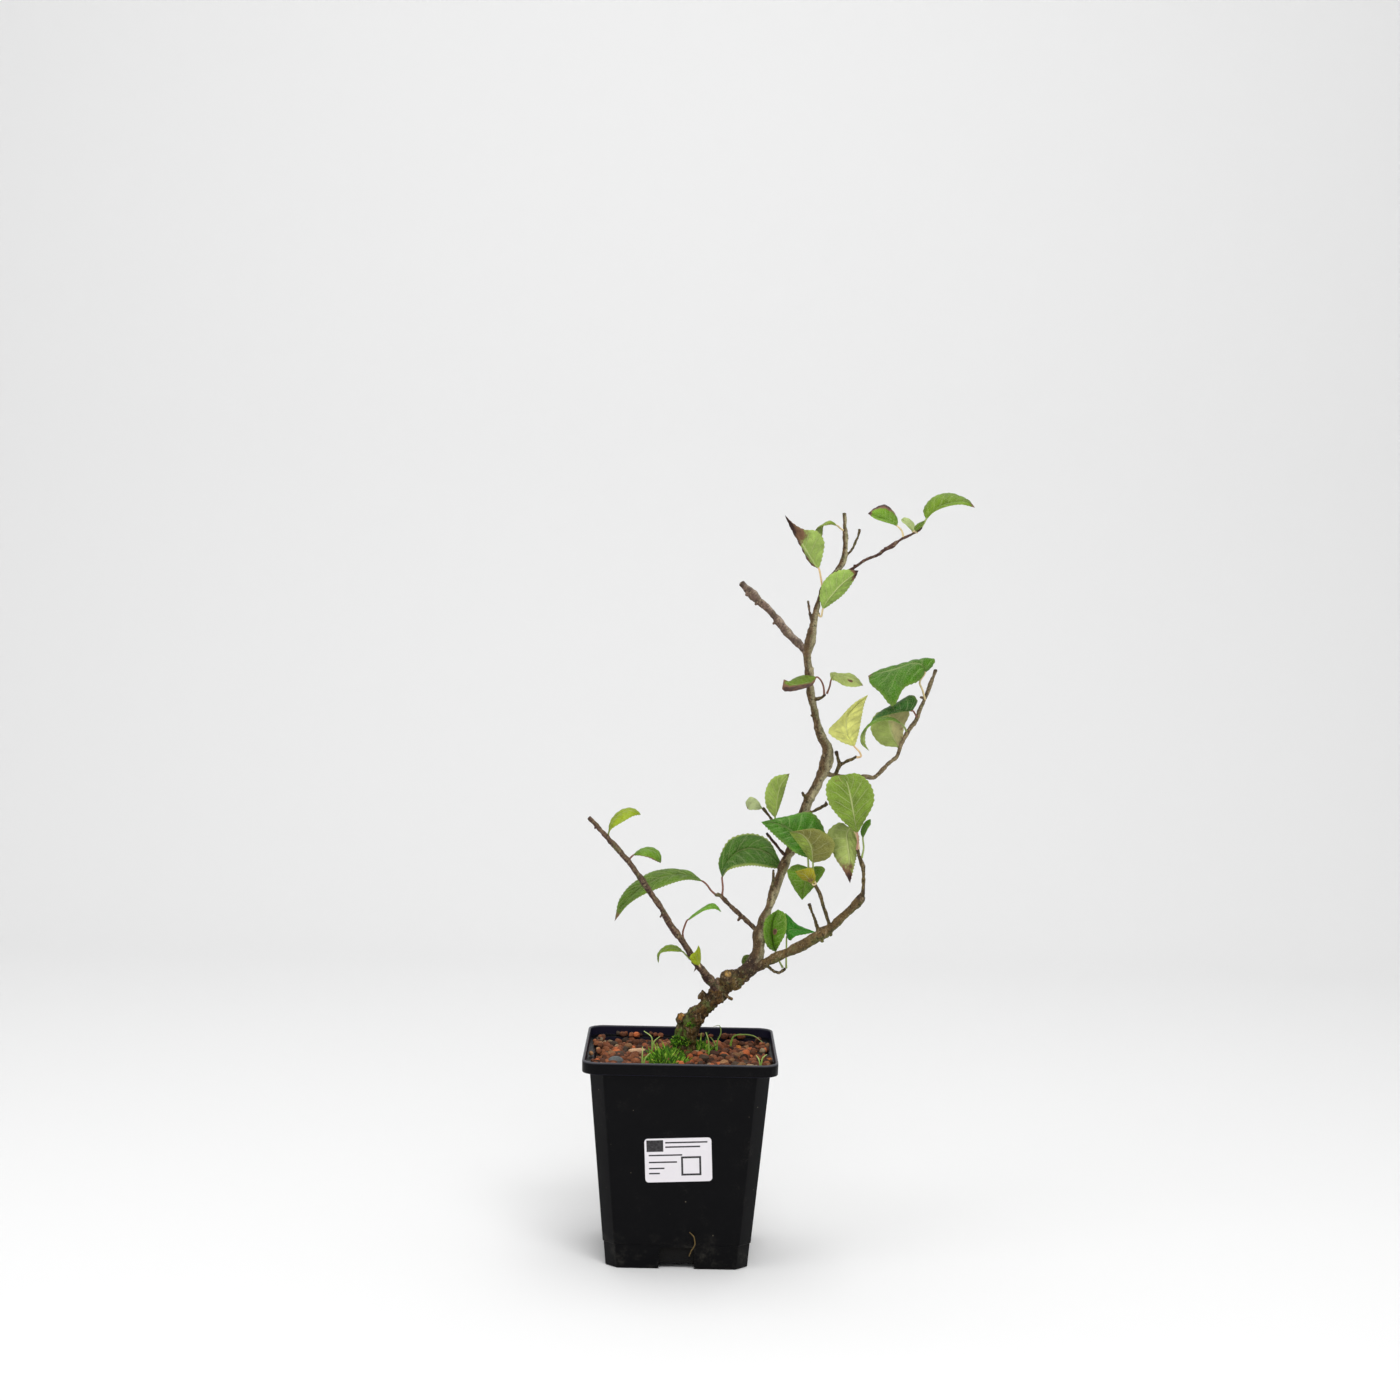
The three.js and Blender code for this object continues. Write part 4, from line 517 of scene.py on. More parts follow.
        [(71.2, 334.8, -4), (66, 335.2, -3), (60.8, 333.2, -4), (57.6, 331.2, -7)],
    ),
    "leaf_33": (
        [(80, 325, -1), (81.4, 328.8, -3)],
        [(82.2, 332.8, -6), (83.8, 335.2, -7), (89, 334.8, -8), (94.8, 333, -8), (100.6, 330, -8)],
        [(81.8, 337, -1), (87.2, 336.4, 0), (93, 336.8, 1), (97.4, 334, -3)],
        [(85.6, 332, -12), (89.6, 329.8, -14), (95.4, 329, -13)],
    ),
}

# Grass blades: true x, y, z and half width
GRASS = {
    "grass_left": [
        [
            (-16.5, 8, 111, 1.1), (-16.5, 8, 118, 0.8), (-17, 8, 122.5, 0.6),
            (-21.5, 10, 125.5, 0.35),
        ],
        [(-16.5, 8, 111, 1.1), (-15.5, 8, 119.5, 0.7), (-12, 8, 123, 0.35)],
    ],
    "grass_front": [
        [(-21.5, -31, 111, 1.1), (-21.5, -31, 119, 0.7), (-21.5, -30, 124.5, 0.35)],
        [(-21.5, -31, 111, 1.1), (-19.5, -31, 118.5, 0.6), (-17, -30, 121, 0.35)],
    ],
    "grass_right": [
        [
            (21.5, 20, 111, 1.1), (21.5, 20, 118, 0.8), (23.5, 19, 123.5, 0.7),
            (22.5, 18, 128, 0.5), (19, 17, 127.5, 0.3),
        ],
        [(21.5, 20, 111, 1.1), (19.5, 19, 118, 0.7), (17.5, 18, 121, 0.35)],
    ],
    "grass_centre": [
        [(16.5, 5, 111, 1.1), (16.5, 5, 118, 0.8), (16, 4, 122.5, 0.6), (14.5, 4.5, 126.5, 0.35)],
    ],
    "grass_arc": [
        [
            (29, 32, 111, 1.2), (31.5, 32, 119, 0.9), (37, 30, 120.5, 0.9), (43, 25, 120.8, 0.8),
            (48, 16, 119, 0.4),
        ],
    ],
    "grass_corner": [
        [(46, -32, 111, 1.1), (46.5, -32, 119.5, 0.7), (49, -31, 121.5, 0.35)],
        [(46, -32, 111, 1.1), (44.5, -31, 118.5, 0.6), (43, -29, 120.5, 0.35)],
    ],
}

# The dry root: true x, y, z and radius
DRY_ROOT = [
    (7.2, -36, 7, 0.5), (7.2, -42, 8.2, 0.5), (8.5, -44.6, 12, 0.5), (10.3, -45.2, 16, 0.5),
    (9.4, -45, 20, 0.45), (7, -44.8, 22.5, 0.35),
]

# How each leaf is coloured, as screen values: its upper side, or its underside where it is turned to
# show that, its right half where that has a tone of its own, and its stalk. Then how pale its rim is,
# and the share of brown at the tip and along the margins. Dead patches are (along, across, reach
# along, reach across, strength).
UPPER = (62, 104, 30)
UNDER = (158, 180, 104)
RED_STALK = (120, 78, 62)
GREEN_STALK = (140, 156, 84)
CREAM_STALK = (206, 186, 138)
LEAF_LOOKS = {
    "leaf_01": {
        "upper": (140, 158, 62), "stalk": GREEN_STALK, "tip": 0.15, "edge": 0.2,
        "dead": [(0.55, 0.95, 0.45, 0.36, 0.9)],
    },
    "leaf_02": {"upper": (104, 140, 60), "stalk": RED_STALK, "tip": 0.3, "edge": 0.6},
    "leaf_03": {"upper": (80, 110, 40), "stalk": RED_STALK, "tip": 0.35, "edge": 0.15},
    "leaf_04": {"upper": (54, 102, 10), "stalk": RED_STALK, "tip": 0.0, "edge": 0.1, "rim": 0.9},
    "leaf_05": {"upper": (98, 142, 58), "stalk": RED_STALK, "tip": 0.05, "edge": 0.2},
    "leaf_06": {"upper": (118, 146, 52), "stalk": GREEN_STALK, "tip": 0.2, "edge": 0.3},
    "leaf_07": {"upper": (160, 176, 60), "stalk": CREAM_STALK, "tip": 0.05, "edge": 0.1},
    # Its under tone is partly painted light: paler where light shines through the blade from behind.
    "leaf_08": {"under": (166, 190, 104), "stalk": GREEN_STALK, "tip": 0.25, "edge": 0.2},
    "leaf_09": {"under": (172, 184, 136), "stalk": GREEN_STALK, "tip": 0.4, "edge": 0.1},
    "leaf_10": {"upper": (66, 124, 34), "stalk": GREEN_STALK, "tip": 0.12, "edge": 0.15},
    "leaf_11": {
        "under": (146, 166, 84), "stalk": GREEN_STALK, "tip": 0.1, "edge": 0.1,
        "right": (124, 124, 68),
    },
    "leaf_12": {
        "under": (170, 186, 112), "stalk": CREAM_STALK, "tip": 0.5, "edge": 0.1,
        "dead": [(1.0, 0, 0.24, 2, 1), (0.78, 0, 0.2, 2, 0.42)],
    },
    "leaf_13": {
        "under": (118, 144, 64), "stalk": (172, 128, 108), "tip": 0.1, "edge": 0.05,
        "dead": [(0.85, 0.5, 0.2, 0.4, 0.35)],
    },
    "leaf_14": {"upper": (92, 132, 62), "stalk": GREEN_STALK, "tip": 0.1, "edge": 0.1},
    "leaf_15": {"upper": (88, 122, 48), "stalk": GREEN_STALK, "tip": 0.05, "edge": 0.3},
    "leaf_16": {
        "under": (168, 160, 62), "stalk": CREAM_STALK, "tip": 0.2, "edge": 0.4,
        "dead": [(0.2, 0, 0.25, 0.8, 0.5)],
    },
    "leaf_17": {
        "upper": (84, 124, 44), "stalk": GREEN_STALK, "tip": 0.1, "edge": 0.05,
        "dead": [(0.5, -0.3, 0.08, 0.2, 0.8)],
    },
    "leaf_18": {"upper": (64, 140, 56), "stalk": GREEN_STALK, "tip": 0.1, "edge": 0.05},
    "leaf_19": {"upper": (74, 92, 44), "stalk": GREEN_STALK, "tip": 0.1, "edge": 0.2},
    # Its under tone is partly painted light: paler where light shines through the blade from behind.
    "leaf_20": {"under": (228, 230, 142), "stalk": (222, 190, 140), "tip": 0.06, "edge": 0.04},
    "leaf_21": {"upper": (72, 116, 42), "stalk": CREAM_STALK, "tip": 0.3, "edge": 0.25},
    "leaf_22": {"upper": (54, 92, 48), "stalk": RED_STALK, "tip": 0.1, "edge": 0.15},
    "leaf_23": {"upper": (96, 124, 66), "stalk": GREEN_STALK, "tip": 0.1, "edge": 0.1},
    # Its under tone is partly painted light: paler where light shines through the blade from behind.
    "leaf_24": {
        "under": (184, 202, 122), "stalk": GREEN_STALK, "tip": 0.15, "edge": 0.1,
        "right": (200, 194, 142), "dead": [(0.3, -0.7, 0.4, 0.3, 0.35)],
    },
    "leaf_25": {
        "under": (156, 180, 102), "stalk": (222, 190, 140), "tip": 0.3, "edge": 0.1,
        "dead": [(1.0, 0.2, 0.54, 1.6, 1), (0.5, 0.8, 0.9, 0.5, 1)],
    },
    "leaf_26": {"upper": (120, 140, 62), "stalk": CREAM_STALK, "tip": 0.1, "edge": 0.45},
    # Its under tone is partly painted light: paler where light shines through the blade from behind.
    "leaf_27": {
        "under": (152, 180, 98), "stalk": CREAM_STALK, "tip": 0.7, "edge": 0.25,
        "dead": [(0.95, -0.6, 0.2, 0.6, 0.9)],
    },
    "leaf_28": {
        "upper": (110, 146, 64), "stalk": CREAM_STALK, "tip": 0.8, "edge": 0.3,
        "dead": [(0.72, -1.0, 0.45, 0.4, 1)],
    },
    "leaf_29": {"under": (184, 200, 140), "stalk": CREAM_STALK, "tip": 0.1, "edge": 0.3},
    "leaf_30": {"upper": (96, 120, 60), "stalk": CREAM_STALK, "tip": 0.2, "edge": 0.3},
    "leaf_31": {"upper": (104, 128, 64), "stalk": GREEN_STALK, "tip": 0.35, "edge": 0.15},
    "leaf_32": {
        "upper": (104, 128, 62), "stalk": RED_STALK, "tip": 0.4, "edge": 0.5,
        "dead": [(0.5, 0.8, 0.6, 0.6, 0.9)],
    },
    "leaf_33": {
        "under": (158, 172, 104), "stalk": RED_STALK, "tip": 0.3, "edge": 0.2,
        "dead": [(0.6, -0.4, 0.08, 0.2, 0.8)],
    },
}

# Bark tones as screen values, and the wood routes that have one of their own
BARK = (92, 80, 54)
BARK_TONES = {
    "trunk": (84, 64, 40), "old_knob": (104, 72, 46), "cut_knob": (120, 100, 66),
    "left_shoot": (78, 58, 52), "leader": (96, 78, 58), "upper_left": (112, 94, 84),
    "low_right": (104, 86, 60), "right": (110, 92, 74), "inner_left": (86, 68, 54),
    "upper_right": (88, 64, 58), "dark_twig": (72, 50, 44), "side_stub": (96, 80, 68),
}
TIP_TONE = (58, 44, 38)
# Routes whose right side has another tone: on most a paler one, painted light on the lit side, and on the
# low right branch a greener tone of its own
BARK_LIT_SIDE_AND_TONE = {
    "leader": (172, 164, 134), "left_shoot": (120, 100, 84), "upper_left": (162, 148, 134),
    "right": (140, 128, 102), "low_right": (96, 94, 56),
}
# Old cut faces on the wood: (x, z, y) of the middle, reach and screen values
CUTS = [
    ((26, 163.6, -5.5), 3.2, (184, 150, 100)),
    ((-2.5, 137, 1), 3.2, (176, 122, 78)),
    ((1, 139, 2), 2.0, (196, 150, 104)),
    ((-55.5, 251, -41), 1.0, (70, 48, 46)),
]


def linear(screen):
    """A colour given as screen values from 0 to 255, as the linear values that shaders take."""
    share = np.asarray(screen, float) / 255
    return np.where(share <= 0.04045, share / 12.92, ((share + 0.055) / 1.055) ** 2.4)


def shade(*screen):
    """The same as linear, as a plain tuple for a property's default."""
    return tuple(float(value) for value in linear(screen))


def lattice(cells, seed):
    """A repeatable value from -1 to 1 for each whole-number cell, from the sine of its weighted sum."""
    mixed = cells @ np.array((127.1, 311.7, 74.7)) + seed * 53.7
    return 2 * np.modf(np.abs(np.sin(mixed) * 43758.5453))[0] - 1


def noise(points, size, seed=0):
    """Value noise from -1 to 1: the eight corners of each cell of that size, blended smoothly."""
    spot = points / size
    cell = np.floor(spot)
    share = spot - cell
    share = share * share * (3 - 2 * share)
    total = np.zeros(points.shape[:-1])
    for corner in np.ndindex(2, 2, 2):
        weight = np.prod(np.where(corner, share, 1 - share), axis=-1)
        total += weight * lattice(cell + corner, seed)
    return total


def seen(route):
    """The true places of knots given as they look from the eye: each moves along its line of sight."""
    knots = np.asarray([knot[:3] for knot in route], float)
    reach = (knots[:, 2] - EYE[1]) / -EYE[1]
    x = EYE[0] + (knots[:, 0] - EYE[0]) * reach
    z = EYE[2] + (knots[:, 1] - EYE[2]) * reach
    return np.stack((x, knots[:, 2], z), axis=1)


def curve_at(knots, shares):
    """Centripetal Catmull-Rom curve: a cubic on each span, whose end slopes follow the neighbours."""
    line = np.vstack((2 * knots[0] - knots[1], knots, 2 * knots[-1] - knots[-2]))
    spans = len(knots) - 1
    place = np.clip(np.asarray(shares) * spans, 0, spans - 1e-9)
    span = place.astype(int)
    t = (place - span)[:, None]
    p0, p1, p2, p3 = (line[span + k] for k in range(4))
    d0, d1, d2 = (np.sqrt(np.linalg.norm(b - a, axis=1) + 1e-9)[:, None]
                  for a, b in ((p0, p1), (p1, p2), (p2, p3)))
    slope1 = ((p1 - p0) / d0 - (p2 - p0) / (d0 + d1) + (p2 - p1) / d1) * d1
    slope2 = ((p2 - p1) / d1 - (p3 - p1) / (d1 + d2) + (p3 - p2) / d2) * d1
    cubic = 2 * p1 - 2 * p2 + slope1 + slope2
    square = -3 * p1 + 3 * p2 - 2 * slope1 - slope2
    return p1 + t * (slope1 + t * (square + t * cubic))


def along(knots, shares):
    """Points at even shares of the curve's length, read off a fine polyline of it."""
    fine = np.linspace(0, 1, 301)
    line = curve_at(knots, fine)
    length = np.concatenate(((0,), np.cumsum(np.linalg.norm(np.diff(line, axis=0), axis=1))))
    spots = np.interp(np.asarray(shares) * length[-1], length, fine)
    return curve_at(knots, spots)


def unit(vectors):
    """Vectors of length one."""
    return vectors / np.maximum(np.linalg.norm(vectors, axis=-1, keepdims=True), 1e-9)


def rise(value, low, high):
    """0 below low, 1 above high, and an even rise between them."""
    return np.clip((value - low) / (high - low), 0, 1)


def blended(first, second, share):
    """A blend of two values by a share from 0 to 1."""
    return first * (1 - share) + second * share


def picked_tones(random, tones, count):
    """Linear tones drawn from a list of screen values with their shares."""
    picks = random.choice(len(tones), count, p=[share for _, share in tones])
    return np.array([linear(tone) for tone, _ in tones])[picks]


def grid_faces(rows, columns, wrap=False):
    """Quads between neighbouring points of a grid, whose last column may join the first."""
    row, column = np.meshgrid(np.arange(rows - 1), np.arange(columns - (not wrap)), indexing="ij")
    a = (row * columns + column).ravel()
    b = (row * columns + (column + 1) % columns).ravel()
    return np.stack((a, b, b + columns, a + columns), axis=1)


def slab_faces(rows, columns):
    """Faces of a closed slab: a grid on top, the same grid turned over below it, and a rim."""
    count = rows * columns
    grid = grid_faces(rows, columns)
    ring = np.concatenate((
        np.arange(columns), np.arange(1, rows) * columns + columns - 1,
        (rows - 1) * columns + np.arange(columns - 2, -1, -1), np.arange(rows - 2, 0, -1) * columns))
    after = np.roll(ring, -1)
    return [grid, grid[:, ::-1] + count, np.stack((ring, ring + count, after + count, after), 1)]


def fan(ring, middle, flip=False):
    """Triangles from a closed ring of points to one in its middle."""
    after = np.roll(ring, -1)
    hub = np.full(len(ring), middle)
    return np.stack((ring, hub, after) if not flip else (ring, after, hub), axis=1)


def write_value(mesh, name, value):
    """Writes a value for each point as an attribute, or a colour where it has three parts."""
    if value.ndim == 2:
        layer = mesh.attributes.new(name, "FLOAT_COLOR", "POINT")
        layer.data.foreach_set("color", np.column_stack((value, np.ones(len(value)))).ravel())
    else:
        mesh.attributes.new(name, "FLOAT", "POINT").data.foreach_set("value", value)


class Shape:
    """Points and faces that are collected into one mesh, with named values for each point."""

    def __init__(self):
        self.points, self.faces, self.slots, self.values = [], [], [], {}
        self.count = 0

    def add(self, points, faces, slots=(0, 0, 0), **values):
        """Adds a surface: its points, blocks of triangles or quads, their material slots and values."""
        points = points.reshape(-1, 3)
        for block, slot in zip(faces, slots):
            self.faces.append(block + self.count)
            self.slots.append(np.full(len(block), slot))
        for name, value in values.items():
            width = {"tone": (3,), "lie": (2,)}.get(name, ())
            spread = np.broadcast_to(np.asarray(value, float), (len(points),) + width)
            self.values.setdefault(name, []).append(spread)
        self.points.append(points)
        self.count += len(points)

    def add_tube(self, rings, slot=0, **values):
        """Adds a skin over a stack of rings, closed at both ends by fans."""
        rows, columns = rings.shape[:2]
        middles = np.stack((rings[0].mean(axis=0), rings[-1].mean(axis=0)))
        points = np.vstack((rings.reshape(-1, 3), middles))
        first = np.arange(columns)
        last = first + (rows - 1) * columns
        faces = [
            grid_faces(rows, columns, wrap=True),
            fan(first, rows * columns),
            fan(last, rows * columns + 1, flip=True),
        ]
        self.add(points, faces, (slot, slot, slot), **values)

    def mesh(self, name):
        """The mesh, in metres, with its values as point attributes and its lie as a UV map."""
        mesh = bpy.data.meshes.new(name)
        points = np.vstack(self.points) * MM
        sizes = np.concatenate([np.full(len(block), block.shape[1]) for block in self.faces])
        corners = np.concatenate([block.ravel() for block in self.faces])
        mesh.vertices.add(len(points))
        mesh.vertices.foreach_set("co", points.ravel())
        mesh.loops.add(len(corners))
        mesh.loops.foreach_set("vertex_index", corners)
        mesh.polygons.add(len(sizes))
        mesh.polygons.foreach_set("loop_start", np.cumsum(sizes) - sizes)
        mesh.polygons.foreach_set("material_index", np.concatenate(self.slots))
        mesh.update(calc_edges=True)
        for key, blocks in self.values.items():
            value = np.concatenate(blocks)
            if key == "lie":
                mesh.uv_layers.new(name="lie").uv.foreach_set("vector", value[corners].ravel())
            else:
                write_value(mesh, key, value)
        return mesh

    def piece(self, name, materials, nodes, slot, angle):
        """The finished piece of this mesh, with smooth shading below an angle in degrees."""
        return finish_piece(place_mesh(self.mesh(name)), materials, nodes, angle)


def finish_piece(piece, materials, nodes, angle=None):
    """Dresses a piece, sets it on the frame and lets it stand for its nodes."""
    for material in materials:
        piece.data.materials.append(look(material))
    piece.data.shade_smooth()
    if angle is not None:
        piece.data.set_sharp_from_angle(angle=math.radians(angle))
    if nodes:
        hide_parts(*nodes)
    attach(piece, "root")
    return piece


def place_mesh(mesh):
    """A new object for a mesh, at the origin."""
    piece = bpy.data.objects.new(mesh.name, mesh)
    bpy.context.scene.collection.objects.link(piece)
    return piece


def settled(piece):
    """Turns a piece's live modifiers into its own mesh."""
    result = bpy.data.meshes.new_from_object(
        piece.evaluated_get(bpy.context.evaluated_depsgraph_get()))
    piece.modifiers.clear()
    piece.data = result
    if len(result.polygons) < 1000:
        raise RuntimeError(piece.name + " lost its skin")
    return piece


# Materials


class Tree:
    """Adds nodes to a node tree and joins them."""

    def __init__(self, tree):
        self.tree = tree

    def join(self, value, socket):
        """Joins a value to an input, or sets the input to it."""
        if isinstance(value, bpy.types.NodeSocket):
            self.tree.links.new(value, socket)
        else:
            socket.default_value = value

    def node(self, kind, inputs=None, **settings):
        """A node with its settings, and its inputs joined or set by name or number."""
        node = self.tree.nodes.new(kind)
        for key, value in settings.items():
            setattr(node, key, value)
        for key, value in (inputs or {}).items():
            self.join(value, node.inputs[key])
        return node

    def maths(self, operation, *inputs):
        """The result of a sum on values or sockets."""
        return self.node("ShaderNodeMath", dict(enumerate(inputs)), operation=operation).outputs[0]

    def times(self, first, second):
        """The product of two values."""
        return self.maths("MULTIPLY", first, second)

    def plus(self, first, second):
        """The sum of two values."""
        return self.maths("ADD", first, second)

    def minus(self, first, second):
        """The first value less the second."""
        return self.maths("SUBTRACT", first, second)

    def rest(self, value):
        """What a value leaves of 1."""
        return self.maths("SUBTRACT", 1.0, value)

    def scaled(self, value, factor, offset):
        """A value times a factor, with an offset added."""
        return self.maths("MULTIPLY_ADD", value, factor, offset)

    def mix(self, factor, first, second):
        """A blend of two colours."""
        inputs = {0: factor}
        for key, colour in ((6, first), (7, second)):
            joined = isinstance(colour, bpy.types.NodeSocket)
            inputs[key] = colour if joined else (*colour[:3], 1)
        return self.node("ShaderNodeMix", inputs, data_type="RGBA").outputs[2]

    def noise(self, vector, scale, detail=3, rough=0.5):
        """Fractal noise from 0 to 1."""
        inputs = {"Vector": vector, "Scale": scale, "Detail": detail, "Roughness": rough}
        return self.node("ShaderNodeTexNoise", inputs).outputs["Fac"]

    def cells(self, vector, scale, feature="F1"):
        """The distance to the nearest cell's middle, or to the cells' borders."""
        inputs = {"Vector": vector, "Scale": scale}
        return self.node("ShaderNodeTexVoronoi", inputs, feature=feature).outputs["Distance"]

    def band(self, value, low, high):
        """0 below low, 1 above high, and a smooth rise between them."""
        inputs = {0: value, 1: low, 2: high, 3: 0.0, 4: 1.0}
        node = self.node("ShaderNodeMapRange", inputs, interpolation_type="SMOOTHSTEP")
        return node.outputs[0]

    def value(self, name):
        """A value that the mesh holds for each point."""
        return self.node("ShaderNodeAttribute", attribute_name=name).outputs["Fac"]

    def tone(self):
        """The tone that the mesh holds for each point."""
        return self.node("ShaderNodeAttribute", attribute_name="tone").outputs["Color"]

    def place(self):
        """The place on the object."""
        return self.node("ShaderNodeTexCoord").outputs["Object"]

    def parts(self, vector):
        """The three parts of a vector."""
        return self.node("ShaderNodeSeparateXYZ", {0: vector}).outputs

    def lie(self):
        """The two parts of the lie that the UV map holds."""
        return self.parts(self.node("ShaderNodeUVMap", uv_map="lie").outputs["UV"])

    def group(self, name, **inputs):
        """The outputs of a node group placed in the tree, with its inputs joined or set."""
        return self.node("ShaderNodeGroup", inputs, node_tree=bpy.data.node_groups[name]).outputs

    def bump(self, surface, height, strength, distance):
        """Raises a height in the surface's normal."""
        inputs = {"Height": height, "Strength": strength, "Distance": distance * MM}
        self.join(self.node("ShaderNodeBump", inputs).outputs["Normal"], surface.inputs["Normal"])


def node_group(name, inputs, outputs):
    """The tree of a new node group with named sockets, and its input and output sockets."""
    group = bpy.data.node_groups.new(name, "ShaderNodeTree")
    for label, kind, default in inputs:
        socket = group.interface.new_socket(label, in_out="INPUT", socket_type="NodeSocket" + kind)
        if default is not None:
            socket.default_value = default
    for label, kind in outputs:
        group.interface.new_socket(label, in_out="OUTPUT", socket_type="NodeSocket" + kind)
    tree = Tree(group)
    return tree, tree.node("NodeGroupInput").outputs, tree.node("NodeGroupOutput").inputs


def grime_group():
    """Dust and specks: soft clouds of dust, and a few hard specks where a fine noise peaks."""
    tree, ins, outs = node_group(
        "bonsai dust", [("Vector", "Vector", None), ("Amount", "Float", 0.5)],
        [("Dust", "Float"), ("Specks", "Float")])
    cloud = tree.band(tree.noise(ins["Vector"], 60, 6, 0.7), 0.5, 0.8)
    fine = tree.band(tree.noise(ins["Vector"], 900, 2), 0.4, 0.75)
    tree.join(tree.times(tree.times(cloud, fine), ins["Amount"]), outs["Dust"])
    tree.join(tree.band(tree.noise(ins["Vector"], 420, 1), 0.79, 0.82), outs["Specks"])


def mottle_group():
    """Mottling: a tone darkened and lightened by coarse and fine noise."""
    tree, ins, outs = node_group(
        "bonsai mottle",
        [("Vector", "Vector", None), ("Tone", "Color", None), ("Scale", "Float", 300.0),
         ("Depth", "Float", 0.5), ("Saturation", "Float", 1.0)],
        [("Colour", "Color"), ("Height", "Float")])
    coarse = tree.noise(ins["Vector"], ins["Scale"], 5, 0.65)
    gain = tree.scaled(tree.times(tree.minus(coarse, 0.5), ins["Depth"]), 3.0, 1.0)
    inputs = {"Value": gain, "Color": ins["Tone"], "Saturation": ins["Saturation"]}
    tree.join(tree.node("ShaderNodeHueSaturation", inputs).outputs[0], outs["Colour"])
    tree.join(coarse, outs["Height"])


def vein_group():
    """Leaf veins, from the lie along the rib and across the blade. The midrib lies where across is
    near 0. A side vein lies where along, less a part that grows towards the margin, reaches a whole
    step. A net of fine veins follows the borders of small cells."""
    tree, ins, outs = node_group(
        "bonsai veins", [("Steps", "Float", 8.0), ("Width", "Float", 0.1)],
        [("Midrib", "Float"), ("Veins", "Float"), ("Net", "Float")])
    lie = tree.lie()
    across = tree.maths("ABSOLUTE", tree.scaled(lie[1], 2.0, -1.0))
    side = tree.times(tree.maths("SIGN", tree.minus(lie[1], 0.5)), VEIN_STAGGER)
    lean = tree.times(across, tree.scaled(across, -VEIN_BOW, VEIN_LEAN))
    wobble = tree.times(tree.noise(tree.place(), 160, 1), 0.05)
    phase = tree.minus(tree.plus(lie[0], wobble), lean)
    near = tree.maths("PINGPONG", tree.plus(tree.times(phase, ins["Steps"]), side), 0.5)
    veins = tree.rest(tree.band(near, 0.02, ins["Width"]))
    fade = tree.rest(tree.band(across, 0.55, 1.0))
    borders = tree.cells(tree.place(), 900.0, "DISTANCE_TO_EDGE")
    tree.join(tree.rest(tree.band(across, 0.02, 0.07)), outs["Midrib"])
    tree.join(tree.times(veins, fade), outs["Veins"])
    tree.join(tree.rest(tree.band(borders, 0.0, 0.16)), outs["Net"])


def new_material(name, roughness, specular=0.5):
    """A material's tree and its surface shader."""
    material = bpy.data.materials.new("bonsai " + name)
    material.use_nodes = True
    surface = material.node_tree.nodes["Principled BSDF"]
    surface.inputs["Roughness"].default_value = roughness
    surface.inputs["Specular IOR Level"].default_value = specular
    return Tree(material.node_tree), surface


def look(name):
    """A material of this scene, by its short name."""
    return bpy.data.materials["bonsai " + name]


def toned_material(name, roughness, scale, depth, bump_depth, specular):
    """A rough natural surface: the points' own tone, mottled, with the mottle raised a little."""
    tree, surface = new_material(name, roughness, specular)
    mottle = tree.group("bonsai mottle", Vector=tree.place(), Tone=tree.tone(), Scale=scale, Depth=depth)
    tree.join(mottle["Colour"], surface.inputs["Base Color"])
    tree.bump(surface, mottle["Height"], 1.0, bump_depth)


def bark_material(settings):
    """Bark: its tone mottled, pits that the bump sinks and darkens, partly their own dark tone and partly
    painted shade, pale scuffed streaks, small pale pores, and grey-green lichen and moss in ragged
    patches."""
    tree, surface = new_material("bark", 0.78, 0.3)
    place = tree.place()
    mottle = tree.group(
        "bonsai mottle", Vector=place, Tone=tree.tone(), Scale=620.0, Depth=1.6, Saturation=1.16)
    stretched = tree.node("ShaderNodeMapping", {"Vector": place, "Scale": (1, 1, 0.4)}).outputs[0]
    streaks = tree.band(tree.noise(stretched, 650, 4, 0.7), 0.54, 0.66)
    pits = tree.band(tree.noise(place, 620, 3, 0.7), 0.54, 0.64)
    pores = tree.rest(tree.band(tree.cells(place, 380.0), 0.1, 0.2))
    lichen = tree.band(tree.noise(place, 150, 6, 0.75), 0.55, 0.62)
    ragged = tree.band(tree.noise(place, 300, 5, 0.75), 0.42, 0.56)
    colour = tree.mix(tree.times(streaks, 0.5), mottle["Colour"], settings.pale)
    # Painted shade, partly the bark's own dark tone: the sunken pits darken towards the pits colour.
    colour = tree.mix(tree.times(pits, tree.scaled(tree.value("rough"), 0.75, 0.3)), colour, settings.pits)
    colour = tree.mix(tree.times(pores, 0.6), colour, settings.pale)
    colour = tree.mix(tree.times(lichen, 0.4), colour, settings.lichen)
    colour = tree.mix(tree.times(tree.value("mossy"), ragged), colour, settings.moss)
    tree.join(colour, surface.inputs["Base Color"])
    height = tree.plus(mottle["Height"], tree.times(pits, -0.7))
    tree.bump(surface, tree.plus(height, tree.times(pores, 0.4)), 1.0, 0.7)


